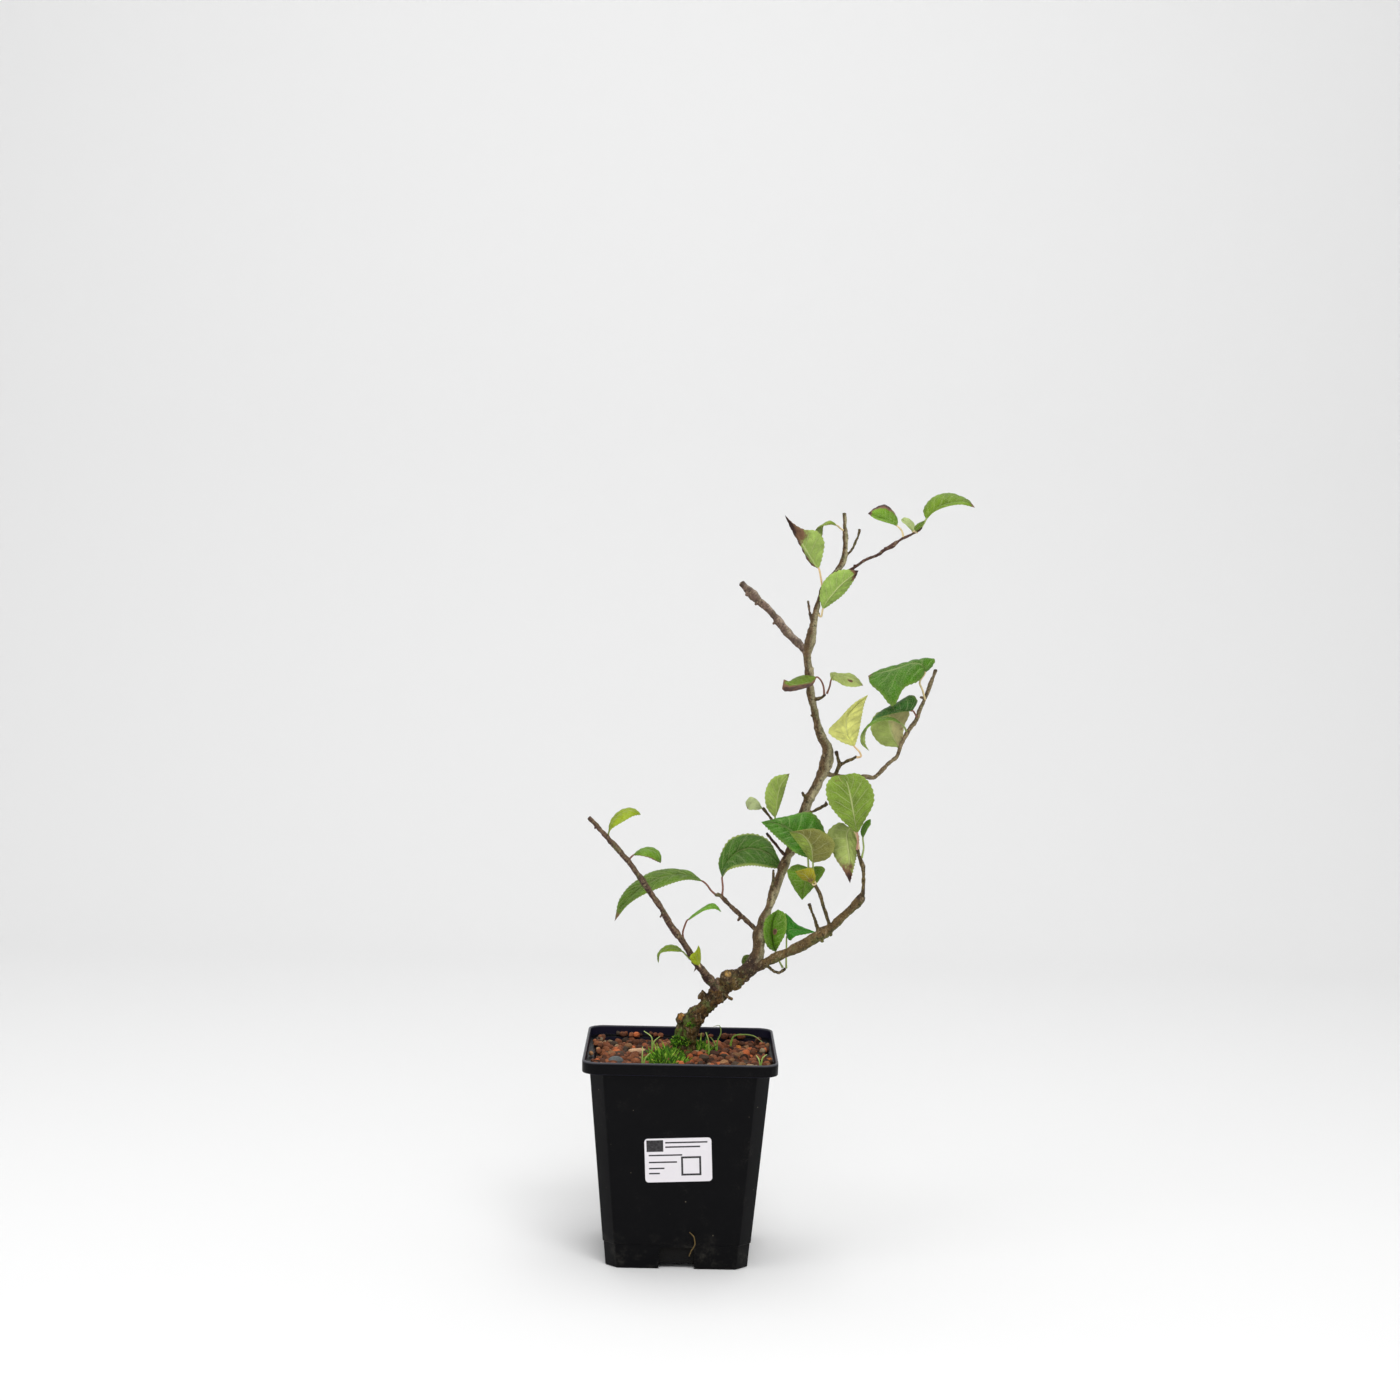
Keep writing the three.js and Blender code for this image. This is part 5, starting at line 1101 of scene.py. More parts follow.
def leaf_material(side, settings):
    """One side of the leaves: the blade's tone with its veins and net, brown where it withers. The
    brown spreads where the wilt value and a ragged noise together pass a limit."""
    roughness, specular, saturation, paleness, relief, depth = LEAF_SIDES[side]
    tree, surface = new_material("leaf " + side, roughness, specular)
    place = tree.place()
    mottle = tree.group(
        "bonsai mottle", Vector=place, Tone=tree.tone(), Scale=170.0, Depth=0.5, Saturation=saturation)
    veins = tree.group("bonsai veins", Steps=SIDE_VEINS, Width=0.09)
    line = tree.maths("MAXIMUM", veins["Midrib"], tree.times(veins["Veins"], 0.55))
    paler = tree.mix(0.55, mottle["Colour"], settings.vein)
    colour = tree.mix(tree.times(veins["Net"], 0.26), mottle["Colour"], paler)
    colour = tree.mix(tree.times(tree.value("rim"), 0.6), colour, settings.margin)
    colour = tree.mix(tree.times(line, paleness), colour, paler)
    ragged = tree.minus(tree.noise(place, 260, 5, 0.7), 0.5)
    wilt = tree.plus(tree.value("wilt"), ragged)
    colour = tree.mix(tree.band(wilt, 0.28, 0.55), colour, settings.wither)
    colour = tree.mix(tree.band(wilt, 0.62, 0.95), colour, settings.dead)
    tree.join(colour, surface.inputs["Base Color"])
    height = tree.times(tree.plus(line, tree.times(veins["Net"], 0.35)), relief)
    tree.bump(surface, height, 0.9, depth)


def pot_material(settings):
    """Satin black plastic: fine orange peel, dust, pale specks and a bloom of lime low down, with a
    painted highlight along the rim's top edge and a painted bluish reflection on the inner walls.
    """
    tree, surface = new_material("pot plastic", 0.36, 0.08)
    place = tree.place()
    grime = tree.group("bonsai dust", Vector=place, Amount=0.1)
    level = tree.parts(place)[2]
    highlight_low, highlight_high = ((POT_HEIGHT - below) * MM for below in RIM_HIGHLIGHT)
    # Painted highlight: the rim's top edge is lightened towards the edge colour.
    rim_highlight = tree.times(tree.band(level, highlight_low, highlight_high), 0.75)
    ragged = tree.band(tree.noise(place, 90, 6, 0.75), 0.48, 0.7)
    lime = tree.times(tree.rest(tree.band(level, LIME[0] * MM, LIME[1] * MM)), ragged)
    # Painted reflection: inner walls, whose normals face the middle, take a bluish tone.
    facing = tree.node("ShaderNodeTexCoord").outputs["Normal"]
    outward = tree.node("ShaderNodeVectorMath", {0: facing, 1: place}, operation="DOT_PRODUCT")
    within = tree.maths("LESS_THAN", outward.outputs["Value"], -0.01)
    colour = tree.mix(within, settings.plastic, settings.inside)
    colour = tree.mix(rim_highlight, colour, settings.edge)
    colour = tree.mix(tree.scaled(lime, 0.12, grime["Dust"]), colour, settings.dust)
    tree.join(tree.mix(grime["Specks"], colour, settings.speck), surface.inputs["Base Color"])
    rough = tree.scaled(grime["Dust"], 0.5, 0.34)
    tree.join(tree.scaled(tree.noise(place, 45, 5, 0.6), 0.12, rough), surface.inputs["Roughness"])
    tree.bump(surface, tree.noise(place, 1400, 2), 0.12, 0.1)


def label_material(settings):
    """Coated paper with a plain dark block, plain ruled lines and an empty box, set by the lie."""
    tree, surface = new_material("label paper", 0.45, 0.12)
    lie = tree.lie()

    def within(value, low, high):
        """1 between two limits and 0 outside them."""
        return tree.times(tree.maths("GREATER_THAN", value, low), tree.maths("LESS_THAN", value, high))

    def box(left, right, bottom, top):
        """1 inside a box on the label."""
        return tree.times(within(lie[0], left, right), within(lie[1], bottom, top))

    ink = box(*LABEL_BLOCK)
    for rule in LABEL_RULES:
        ink = tree.maths("MAXIMUM", ink, box(*rule))
    ink = tree.maths("MAXIMUM", ink, tree.minus(box(*LABEL_BOX[0]), box(*LABEL_BOX[1])))
    worn = tree.scaled(tree.noise(tree.place(), 900, 2), -0.1, 1.0)
    tree.join(tree.mix(tree.times(ink, worn), settings.paper, settings.ink), surface.inputs["Base Color"])


def backdrop_material():
    """Plain pale, matt."""
    _, surface = new_material("backdrop", 0.9)
    surface.inputs["Base Color"].default_value = (*shade(*BACKDROP_TONE), 1)


# Shapes


def square_ring(half, height, cut, round_share):
    """Points round a square of a given half width. Each corner is a straight chamfer whose two ends
    are small arcs of 45 degrees, blended by round_share towards one quarter circle."""
    per = RING_POINTS // 4
    cut = min(cut, half * 0.35)
    small = min(CHAMFER_ARC, half * 0.2)
    share = np.linspace(0, math.pi / 4, per // 2)
    tangent = small * math.tan(math.pi / 8)
    low = np.stack((half - small + small * np.cos(share),
                    half - cut - tangent + small * np.sin(share)), 1)
    chamfered = np.vstack((low, low[::-1, ::-1]))
    wide = min(RIM_RADIUS, half * 0.5)
    turn = np.linspace(0, math.pi / 2, per)
    rounded = half - wide + wide * np.stack((np.cos(turn), np.sin(turn)), 1)
    corner = blended(chamfered, rounded, round_share)
    quarter = np.array(((0, 1), (-1, 0)))
    ring = np.vstack([corner @ np.linalg.matrix_power(quarter, count) for count in range(4)])
    return np.column_stack((ring, np.full(len(ring), height)))


def eased(profile, steps=5):
    """A profile whose knots are rounded: near each knot a quadratic curve runs from a point at its
    radius before the knot to one at its radius after it."""
    result = []
    for index, knot in enumerate(profile):
        here = np.array(knot[:-1], float)
        radius = knot[-1]
        if radius <= 0:
            result.append(here)
            continue
        before = np.array(profile[index - 1][:-1], float)
        after = np.array(profile[index + 1][:-1], float)
        start = here + (before - here) * min(radius / np.linalg.norm((before - here)[:2]), 0.45)
        end = here + (after - here) * min(radius / np.linalg.norm((after - here)[:2]), 0.45)
        for t in np.linspace(0, 1, steps):
            result.append((1 - t) ** 2 * start + 2 * t * (1 - t) * here + t * t * end)
    return np.array(result)


def body_half(height):
    """The half width of the pot's body at a height."""
    return (BODY_BOTTOM + (BODY_TOP - BODY_BOTTOM) * height / SHELF) / 2


def body_cut(height):
    """The size of the body's cut corners at a height."""
    return CHAMFER_BOTTOM + (CHAMFER_TOP - CHAMFER_BOTTOM) * height / SHELF


def pot_shell(settings):
    """The pot as one closed skin. Its profile of (half width, height, how round the corners are, and
    the radius of the knot) runs from the middle of the base over the foot, the body and the rim, and
    down the inside. The skin waves in and out with coarse noise."""
    wall = settings.wall / MM
    foot, top = FOOT_HEIGHT, SHELF
    inner_top, inner_low = body_half(top) - wall, body_half(FLOOR) - wall
    profile = [
        (0.5, 0, 0, 0), (body_half(0) - FOOT_STEP, 0, 0, 0.7),
        (body_half(foot) - FOOT_STEP, foot, 0, 0.2), (body_half(foot), foot + 0.3, 0, 0.2),
        (body_half(60), 60, 0, 0), (body_half(top), top, 0, 0.6),
        (RIM_HALF - 0.15, top, 1, 0.7), (RIM_HALF, POT_HEIGHT, 1, 0.7),
        (RIM_HALF - wall, POT_HEIGHT, 1, 0.6), (RIM_HALF - wall - 0.1, top + wall, 1, 0.7),
        (inner_top, top + wall, 0, 0.7), (inner_low, FLOOR, 0, 0.7), (0.5, FLOOR, 0, 0),
    ]
    rings = np.array([square_ring(half, z, body_cut(z), share) for half, z, share in eased(profile)])
    wave = settings.unevenness / MM * noise(rings, 28, 4) * rise(rings[..., 2], 0, 5)
    rings[:, :, :2] += unit(rings[:, :, :2]) * wave[..., None]
    shape = Shape()
    shape.add_tube(rings)
    return shape


def bar_through(axis):
    """A bar with a rounded upper side that cuts the drain slots through two walls of the foot."""
    arc = np.linspace(0, math.pi / 2, 7)
    half = SLOT_WIDTH / 2
    right = np.stack((half - SLOT_CORNER + SLOT_CORNER * np.cos(arc),
                      SLOT_TOP - SLOT_CORNER + SLOT_CORNER * np.sin(arc)), 1)
    left = right[::-1] * (-1, 1)
    outline = np.vstack(((half, BAR_LOW), right, left, (-half, BAR_LOW)))
    across, level = outline.T
    ends = []
    for end in (-BAR_REACH, BAR_REACH):
        reach = np.full(len(outline), end)
        ends.append(np.stack((reach, across, level) if axis == "x" else (-across, reach, level), 1))
    shape = Shape()
    shape.add_tube(np.array(ends))
    return place_mesh(shape.mesh("slot_bar_" + axis))


def build_pot(settings):
    """Makes the pot and cuts its drain slots."""
    piece = place_mesh(pot_shell(settings).mesh("pot_shell"))
    bars = [bar_through("x"), bar_through("y")]
    for bar in bars:
        cut = piece.modifiers.new("slot", "BOOLEAN")
        cut.operation = "DIFFERENCE"
        cut.solver = "EXACT"
        cut.object = bar
    settled(piece)
    for bar in bars:
        bpy.data.objects.remove(bar)
    return finish_piece(piece, ["pot plastic"], ["pot"], 28)


def build_label(settings):
    """The label: a thin slab. At each height its half width follows the rounded corners' circle."""
    v = np.sin(np.linspace(-1, 1, 33) * math.pi / 2) * LABEL_HEIGHT / 2
    beyond = np.clip(np.abs(v) - (LABEL_HEIGHT / 2 - LABEL_RADIUS), 0, LABEL_RADIUS)
    half = LABEL_WIDTH / 2 - LABEL_RADIUS + np.sqrt(np.maximum(LABEL_RADIUS ** 2 - beyond ** 2, 0))
    u = half[:, None] * np.linspace(-1, 1, 41)
    level = np.broadcast_to(v[:, None], u.shape)
    turned_u = u * math.cos(LABEL_TURN) - level * math.sin(LABEL_TURN)
    turned_v = u * math.sin(LABEL_TURN) + level * math.cos(LABEL_TURN)
    slope = math.atan((BODY_TOP - BODY_BOTTOM) / 2 / SHELF)
    up = np.array((0, -math.sin(slope), math.cos(slope)))
    out = np.array((0, -math.cos(slope), -math.sin(slope)))
    middle = np.array((0, -body_half(LABEL_CENTRE), LABEL_CENTRE))
    face = middle + turned_u[..., None] * np.array((1, 0, 0)) + turned_v[..., None] * up
    lie = np.stack((u / LABEL_WIDTH + 0.5, level / LABEL_HEIGHT + 0.5), -1).reshape(-1, 2)
    curl = LABEL_CURL * noise(face, 9, 2)[..., None] * out
    front = face + out * settings.label_depth / MM + np.abs(curl)
    shape = Shape()
    shape.add(np.stack((front, face - out * LABEL_SEAT)), slab_faces(*u.shape), lie=np.vstack((lie, lie)))
    return shape.piece("label_paper", ["label paper"], ["label"], "label_paper", 50)


def soil_height(x, y):
    """The bed's height: its level, a heap round the trunk that falls off along a cosine, and noise."""
    away = np.hypot(x - TRUNK_FOOT[0], y - TRUNK_FOOT[1]) / HEAP_REACH
    heap = SOIL_HEAP * 0.5 * (1 + np.cos(np.clip(away, 0, 1) * math.pi))
    spot = np.stack((x, y, np.zeros_like(x)), -1)
    return SOIL_LEVEL - BED_DEPTH + heap + 0.5 * noise(spot, 9, 3)


def ball(rows=6, columns=8, pole=0.32):
    """Directions over a ball, from its lower to its upper pole, which are cut off by small circles."""
    lean = np.linspace(-math.pi / 2 + pole, math.pi / 2 - pole, rows)[:, None]
    turn = np.linspace(0, 2 * math.pi, columns, endpoint=False)[None, :]
    return np.stack((np.cos(lean) * np.cos(turn), np.cos(lean) * np.sin(turn),
                     np.sin(lean) * np.ones_like(turn)), -1)


def add_bed(shape, side, limit, low_side):
    """Adds the soil's bed: a square lattice, drawn in along each ray from its middle as far as the cut
    corners need, and a smaller copy of it just over the pot's floor. Both are darkened as painted shade,
    the copy nearly black."""
    line = np.linspace(-1, 1, BED_LINES) * side
    x, y = np.meshgrid(line, line, indexing="xy")
    spread = (np.abs(x) + np.abs(y)) / np.maximum(np.abs(x), np.abs(y))
    squeeze = np.minimum(1, limit / (side * spread))
    x, y = x * squeeze, y * squeeze
    bed = np.stack((x, y, soil_height(x, y)), -1)
    low = bed * low_side / side
    low[..., 2] = FLOOR + BED_LIFT
    # Painted shade: a dark brown bed between the grains and a nearly black copy at the floor.
    tones = np.repeat([linear(tone) for tone in BED_SHADE_TONES], BED_LINES ** 2, axis=0)
    shape.add(np.stack((bed, low)), slab_faces(BED_LINES, BED_LINES), tone=tones)


def grain_spots(random, settings, side, limit):
    """Where the grains lie, their radii, and whether they reach over the ledge under the rim. Few
    grains lie on the ledge, and they are small. The first ones are the orange grains."""
    spots = random.uniform(-side - 2.6, side + 2.6, (settings.grains, 2))
    spots = spots[np.abs(spots).sum(axis=1) < limit - 1]
    onto_ledge = np.abs(spots).max(axis=1) > side - 1
    spots = spots[~onto_ledge | (random.uniform(0, 1, len(spots)) < 0.4)]
    sizes = settings.grain_size / MM / 2 * random.lognormal(0, GRAIN_SPREAD, len(spots))
    sizes = np.clip(sizes, *GRAIN_RADII)
    special = slice(len(ORANGE_GRAINS))
    spots[special], sizes[special] = ORANGE_GRAINS, ORANGE_RADIUS
    ledge = np.abs(spots).max(axis=1) > side - sizes
    sizes = np.where(ledge, np.minimum(sizes, LEDGE_RADIUS), sizes)
    wall = RIM_HALF - settings.wall / MM - 0.3 - sizes[:, None]
    return np.clip(spots, -wall, wall), sizes, ledge


def build_soil(settings):
    """The soil: an uneven bed, dark with painted shade between the grains, and grains scattered on it.
    Each grain is a ball, squashed and turned at random, whose reach swells and shrinks with coarse noise."""
    random = np.random.default_rng(SOIL_SEED)
    wall = settings.wall / MM
    side = body_half(SHELF) - wall - BED_GAP
    limit = side * 2 - body_cut(SHELF) - BED_GAP
    shape = Shape()
    add_bed(shape, side, limit, body_half(FLOOR) - wall - BED_LOW_GAP)
    spots, sizes, ledge = grain_spots(random, settings, side, limit)
    count = len(spots)
    special = slice(len(ORANGE_GRAINS))
    tones = picked_tones(random, SOIL_TONES, count)
    tones[special] = linear(ORANGE)
    tones = tones * random.uniform(0.5, 1.2, (count, 1))
    form = ball()
    stretch = random.uniform(0.72, 1.12, (count, 3)) * sizes[:, None]
    stretch[:, 2] *= 0.85
    turn = random.uniform(0, math.pi, count)
    c, s = np.cos(turn)[:, None, None], np.sin(turn)[:, None, None]
    x, y, z = np.moveaxis(form[None] * stretch[:, None, None, :], -1, 0)
    grains = np.stack((x * c - y * s, x * s + y * c, z), -1)
    lift = soil_height(spots[:, 0], spots[:, 1]) + sizes * random.uniform(-0.1, 0.55, count)
    lift[special] += 0.6
    lift = np.where(ledge, np.maximum(lift, SHELF + wall + sizes * 0.8), lift)
    centre = np.column_stack((spots, lift))[:, None, None, :]
    lumps = 1 + 0.34 * noise(form[None] + centre * 3.1, 0.9, 5)
    for grain, tone in zip(centre + grains * lumps[..., None], tones):
        shape.add_tube(grain, tone=tone)
    return shape.piece("soil_grains", ["soil"], ["soil"], "soil_grains", 40)


def add_shoots(shape, base, lean, length, random):
    """Adds moss shoots: thin cones that stand on their bases and lean as told."""
    count = len(base)
    tones = picked_tones(random, MOSS_TONES, count)
    side = unit(np.cross(lean, random.normal(0, 1, (count, 3))))
    other = np.cross(lean, side)
    ring = np.linspace(0, 2 * math.pi, 5, endpoint=False)
    circle = side[:, None, None] * np.cos(ring)[:, None] + other[:, None, None] * np.sin(ring)[:, None]
    rising = lean[:, None, None] * (length[:, None] * SHOOT_LEVELS)[..., None, None]
    points = base[:, None, None] + rising + circle * SHOOT_RADII[:, None, None]
    for shoot, tone in zip(points, tones):
        shape.add_tube(shoot, tone=tone)


def build_moss(name, settings):
    """A moss cushion: a low mound, and short shoots that stand on it. Each shoot is a thin cone that
    leans out from the mound's middle. A coarse noise leaves bare spots."""
    middle, reach, count, seed, share = MOSS_PATCHES[name]
    random = np.random.default_rng(seed)
    shape = Shape()

    def mound(away, turn):
        """Points at shares of the reach: a dome over the patch's ellipse, with lumps."""
        x = middle[0] + reach[0] * away * np.cos(turn)
        y = middle[1] + reach[1] * away * np.sin(turn)
        spot = np.stack((x, y, np.zeros_like(x)), -1)
        inside = np.hypot((x - middle[0]) / reach[0], (y - middle[1]) / reach[1])
        dome = np.sqrt(np.clip(1 - inside ** 2, 0, 1))
        height = soil_height(x, y) + dome * (2.6 + 2.4 * noise(spot, 7, 8)) - 0.6
        return np.stack((x, y, height), -1)

    turn = np.linspace(0, 2 * math.pi, 32, endpoint=False)[None, :]
    top = mound(np.linspace(1, 0.02, 14)[:, None], turn)
    bottom = top[:1].copy()
    bottom[..., 2] = SOIL_LEVEL - MOSS_SINK
    shape.add_tube(np.vstack((bottom, top)), tone=linear(MOSS_GROUND))

    away = np.sqrt(random.uniform(0, 1, count))
    angle = random.uniform(0, 2 * math.pi, count)
    base = mound(away, angle) - (0, 0, 0.4)
    lean = np.stack((np.cos(angle) * away, np.sin(angle) * away, np.ones(count)), -1)
    lean = unit(lean + random.normal(0, 0.5, (count, 3)))
    length = share * settings.moss_length / MM * random.uniform(0.4, 1.2, count) ** 1.5
    length[random.uniform(0, 1, count) < TALL_SHARE] *= TALL_FACTOR
    kept = noise(base, 3.2, 21) > -0.42
    add_shoots(shape, base[kept], lean[kept], length[kept], random)
    return shape.piece(name + "_tuft", ["moss"], [name], "moss", 60)


def build_trunk_moss(settings):
    """Moss shoots on the trunk's lower left. They stand on the skin round its route, where the turn
    about it faces the front or the left, and thin out upwards."""
    random = np.random.default_rng(TRUNK_MOSS_SEED)
    count = TRUNK_MOSS_SHOOTS
    centre, radii = route_curve(WOOD["trunk"], 0.5)
    height = TRUNK_MOSS_LOW + TRUNK_MOSS_HEIGHT * random.uniform(0, 1, count) ** TRUNK_MOSS_THINNING
    near = np.abs(centre[:, 2][None] - height[:, None]).argmin(axis=1)
    turn = np.radians(random.uniform(*TRUNK_MOSS_TURNS, count))
    out = np.stack((np.cos(turn), np.sin(turn), np.zeros(count)), -1)
    base = centre[near] + out * (radii[near] * 1.02)[:, None]
    base[:, 2] = height
    patchy = noise(base, 4.5, 17) > -0.25 + (height - TRUNK_MOSS_BARE) / 26
    lean = unit(out + (0, 0, 0.7) + random.normal(0, 0.45, (count, 3)))
    length = settings.moss_length / MM * random.uniform(0.35, 0.85, count)
    shape = Shape()
    add_shoots(shape, base[patchy], lean[patchy], length[patchy], random)
    return shape.piece("trunk_moss", ["moss"], [], "moss", 60)


def sides_along(points):
    """Two cross directions that turn as little as they can along a path."""
    tangent = unit(np.gradient(points, axis=0))
    side = np.zeros_like(points)
    here = np.array((1.0, 0, 0)) if abs(tangent[0][0]) < 0.8 else np.array((0, 1.0, 0))
    for index, way in enumerate(tangent):
        here = here - way * here.dot(way)
        here = here / np.linalg.norm(here)
        side[index] = here
    return side, np.cross(tangent, side)


def tube_rings(points, radii, columns, flat=1.0):
    """Rings round a path: at each point a circle of its radius, squashed by flat on one axis."""
    side, other = sides_along(points)
    turn = np.linspace(0, 2 * math.pi, columns, endpoint=False)
    circle = side[:, None] * np.cos(turn)[:, None] + other[:, None] * np.sin(turn)[:, None] * flat
    return points[:, None] + circle * np.asarray(radii)[:, None, None]


def route_curve(route, step, true=False, count=None):
    """Points and radii along a route, a step apart or in a given number. The route is as seen from
    the eye, or true."""
    knots = np.array([knot[:3] for knot in route], float) if true else seen(route)
    length = np.linalg.norm(np.diff(knots, axis=0), axis=1).sum()
    shares = np.linspace(0, 1, count or max(int(length / step) + 2, 5))
    radii = np.interp(shares * (len(route) - 1), np.arange(len(route)), [knot[3] for knot in route])
    return curve_at(knots, shares), radii


def build_grass(name):
    """Grass blades: narrow tubes, pressed flat, that taper to a point along their routes."""
    shape = Shape()
    for route in GRASS[name]:
        points, radii = route_curve(route, 1.2, true=True)
        share = np.linspace(0, 1, len(points))[:, None]
        tone = blended(linear(GRASS_TONES[0]), linear(GRASS_TONES[1]), share)
        rings = tube_rings(points, radii * GRASS_WIDTH, 10, GRASS_FLAT)
        shape.add_tube(rings, tone=np.vstack((np.repeat(tone, 10, axis=0), tone[:1], tone[-1:])))
    return shape.piece(name + "_blades", ["grass"], [name], "grass", 60)


def build_litter(name):
    """A pebble or chip: a ball stretched to its three reaches and dented by noise. A chip's ball is
    pressed towards a block by a power on its directions."""
    middle, reach, turn, tone, square, slot = LITTER[name]
    form = ball(18, 26)
    block = np.sign(form) * np.abs(form) ** (1 - square)
    angle = math.radians(turn)
    c, s = math.cos(angle), math.sin(angle)
    turned = np.array(((c, s, 0), (-s, c, 0), (0, 0, 1)))
    points = (block * reach * (1 + 0.1 * noise(form, 0.6, 2))[..., None]) @ turned
    height = soil_height(np.array(middle[0]), np.array(middle[1])) + reach[2] * 0.75
    shape = Shape()
    shape.add_tube(points + (*middle, height), tone=linear(tone))
    return shape.piece(name + "_piece", ["litter"], [name], slot, 60)


def build_dry_root():
    """A dry root: a thin crooked tube out of the drain slot."""
    points, radii = route_curve(DRY_ROOT, 0.8, true=True)
    points = points + DRY_ROOT_CROOK * np.stack([noise(points, 2.2, seed) for seed in (1, 2, 3)], -1)
    shape = Shape()
    shape.add_tube(tube_rings(points, radii * DRY_ROOT_WIDTH, 8), tone=linear(DRY_ROOT_TONE))
    return shape.piece("dry_root_strand", ["litter"], ["dry_root"], "dry_wood", 60)


def route_tones(points, at_once=20000):
    """For each point: the bark tone of its nearest route. A route with a second tone turns to it on its
    right, where the sideways place between the route's middle and skin passes a limit; on most routes that
    tone is paler, painted light on the lit side, and on the low right branch it is a greener tone of its
    own."""
    best = np.full(len(points), np.inf)
    tone = np.zeros((len(points), 3))
    for name, route in WOOD.items():
        centre, radii = route_curve(route, 1.5)
        gaps, side = np.zeros(len(points)), np.zeros(len(points))
        for start in range(0, len(points), at_once):
            part = slice(start, start + at_once)
            block = points[part]
            away = np.linalg.norm(block[:, None] - centre[None], axis=2) - radii
            near = away.argmin(axis=1)
            gaps[part] = away[np.arange(len(block)), near]
            side[part] = (block[:, 0] - centre[near, 0]) / radii[near]
        closer = gaps < best
        best[closer] = gaps[closer]
        first = BARK_TONES.get(name, BARK)
        # Painted light: on most routes the right side's paler tone stands for the lit side of the stem.
        second = BARK_LIT_SIDE_AND_TONE.get(name, first)
        ragged = side + 0.5 * noise(points, 5, 14)
        share = np.clip(ragged * 1.6 + 0.4, 0, 1)[:, None]
        tone[closer] = blended(linear(first), linear(second), share)[closer]
    return tone


def wood_skin(settings):
    """Tubes along the routes, the buds and the roots, joined by a fine remesh and smoothed a little.
    The stems swell and sway with noise, but not at their ends."""
    thick = Shape()
    for seed, route in enumerate(WOOD.values()):
        points, radii = route_curve(route, 1.0)
        knots = 0.3 * np.maximum(noise(points, 5.0, seed + 20), -0.25) + 0.1 * noise(points, 2.5, seed)
        ends = np.clip(np.minimum(np.arange(len(points)), np.arange(len(points))[::-1]) / 4, 0, 1)
        radii = np.maximum(radii * (1 + knots * ends * settings.knots), 0.75)
        sway = 0.28 * np.stack([noise(points, 7, seed + turn) for turn in (3, 5, 7)], -1)
        thick.add_tube(tube_rings(points + sway * ends[:, None], radii, 20))
    for route in BUDS:
        points, radii = route_curve(route, 0.5)
        thick.add_tube(tube_rings(points, np.maximum(radii, 0.5), 12))
    for route in ROOTS:
        points, radii = route_curve(route, 1.0, true=True, count=14)
        thick.add_tube(tube_rings(points, radii, 20))
    piece = place_mesh(thick.mesh("bonsai_wood"))
    remesh = piece.modifiers.new("joined", "REMESH")
    remesh.mode = "VOXEL"
    remesh.voxel_size = settings.wood_grain
    smooth = piece.modifiers.new("smoothed", "SMOOTH")
    smooth.factor = 0.5
    smooth.iterations = 2
    return settled(piece)


def build_wood(settings):
    """The wood: its joined skin, whose points then move along their normals by knobbly, furrowed noise.
    The furrows are noise whose cells are long upwards. The move, the noise, the tips and the old cuts also
    set each point's tone: the move darkens the sunken furrows as painted shade and lightens the raised
    knobs as painted highlight. Moss grows low down and on the left."""
    piece = wood_skin(settings)
    mesh = piece.data
    count = len(mesh.vertices)
    spots, normals = np.empty(count * 3), np.empty(count * 3)
    mesh.vertices.foreach_get("co", spots)
    mesh.vertices.foreach_get("normal", normals)
    spots, normals = spots.reshape(-1, 3) / MM, normals.reshape(-1, 3)
    tone = route_tones(spots)
    low = 1 - rise(spots[:, 2], *ROUGH_BARK)
    long = spots * (1, 1, 0.4)
    furrow = np.abs(noise(long, 1.7, 3)) - 0.35
    move = low * (0.6 * noise(spots, 3.1, 1) + 0.9 * furrow + 0.25 * noise(spots, 1.1, 6))
    move += 0.2 * noise(spots, 1.5, 2) + 0.14 * noise(spots * (1, 1, 0.5), 0.8, 7)
    move += low * 0.5 * np.maximum(noise(spots, 1.8, 31) - 0.25, 0)
    spots = spots + normals * (move * settings.bark_relief)[:, None]
    mottled = 1 + 0.26 * noise(spots, 4.5, 9) + 0.32 * noise(long, 1.6, 10)
    mottled += low * 0.34 * noise(spots, 2.1, 44)
    # Painted shade and highlight: sunken points darker, raised ones lighter.
    tone = tone * (mottled * np.clip(1 + 0.75 * move, 0.4, 1.45))[:, None] * 0.9
    for route in WOOD.values():
        tip, radius = seen(route[-1:])[0], route[-1][3]
        near = np.clip(1.7 - np.linalg.norm(spots - tip, axis=1) / (radius * 1.3), 0, 0.75)[:, None]
        tone = blended(tone, linear(TIP_TONE), near)
    rough = np.clip(0.35 + low, 0, 1)
    for middle, reach, colour in CUTS:
        away = np.linalg.norm(spots - seen([middle])[0], axis=1) / reach
        share = np.clip(np.clip(1.25 - away, 0, 1) * 4, 0, 1)
        tone = blended(tone, linear(colour), share[:, None])
        rough = rough * (1 - 0.8 * share)
    mossy = (1 - rise(spots[:, 2], *MOSSY_FOOT)) * np.clip(1 - spots[:, 0] / MOSSY_RIGHT, 0.12, 1)
    mossy += 0.45 * (1 - rise(spots[:, 2], *MOSSY_SPOTS)) * (noise(spots, 6, 12) > 0.1)
    mesh.vertices.foreach_set("co", (spots * MM).ravel())
    write_value(mesh, "tone", np.clip(tone, 0, 1))
    write_value(mesh, "mossy", np.clip(mossy, 0, 1))
    write_value(mesh, "rough", rough)
    mesh.update()
    return finish_piece(piece, ["bark"], ["wood"])


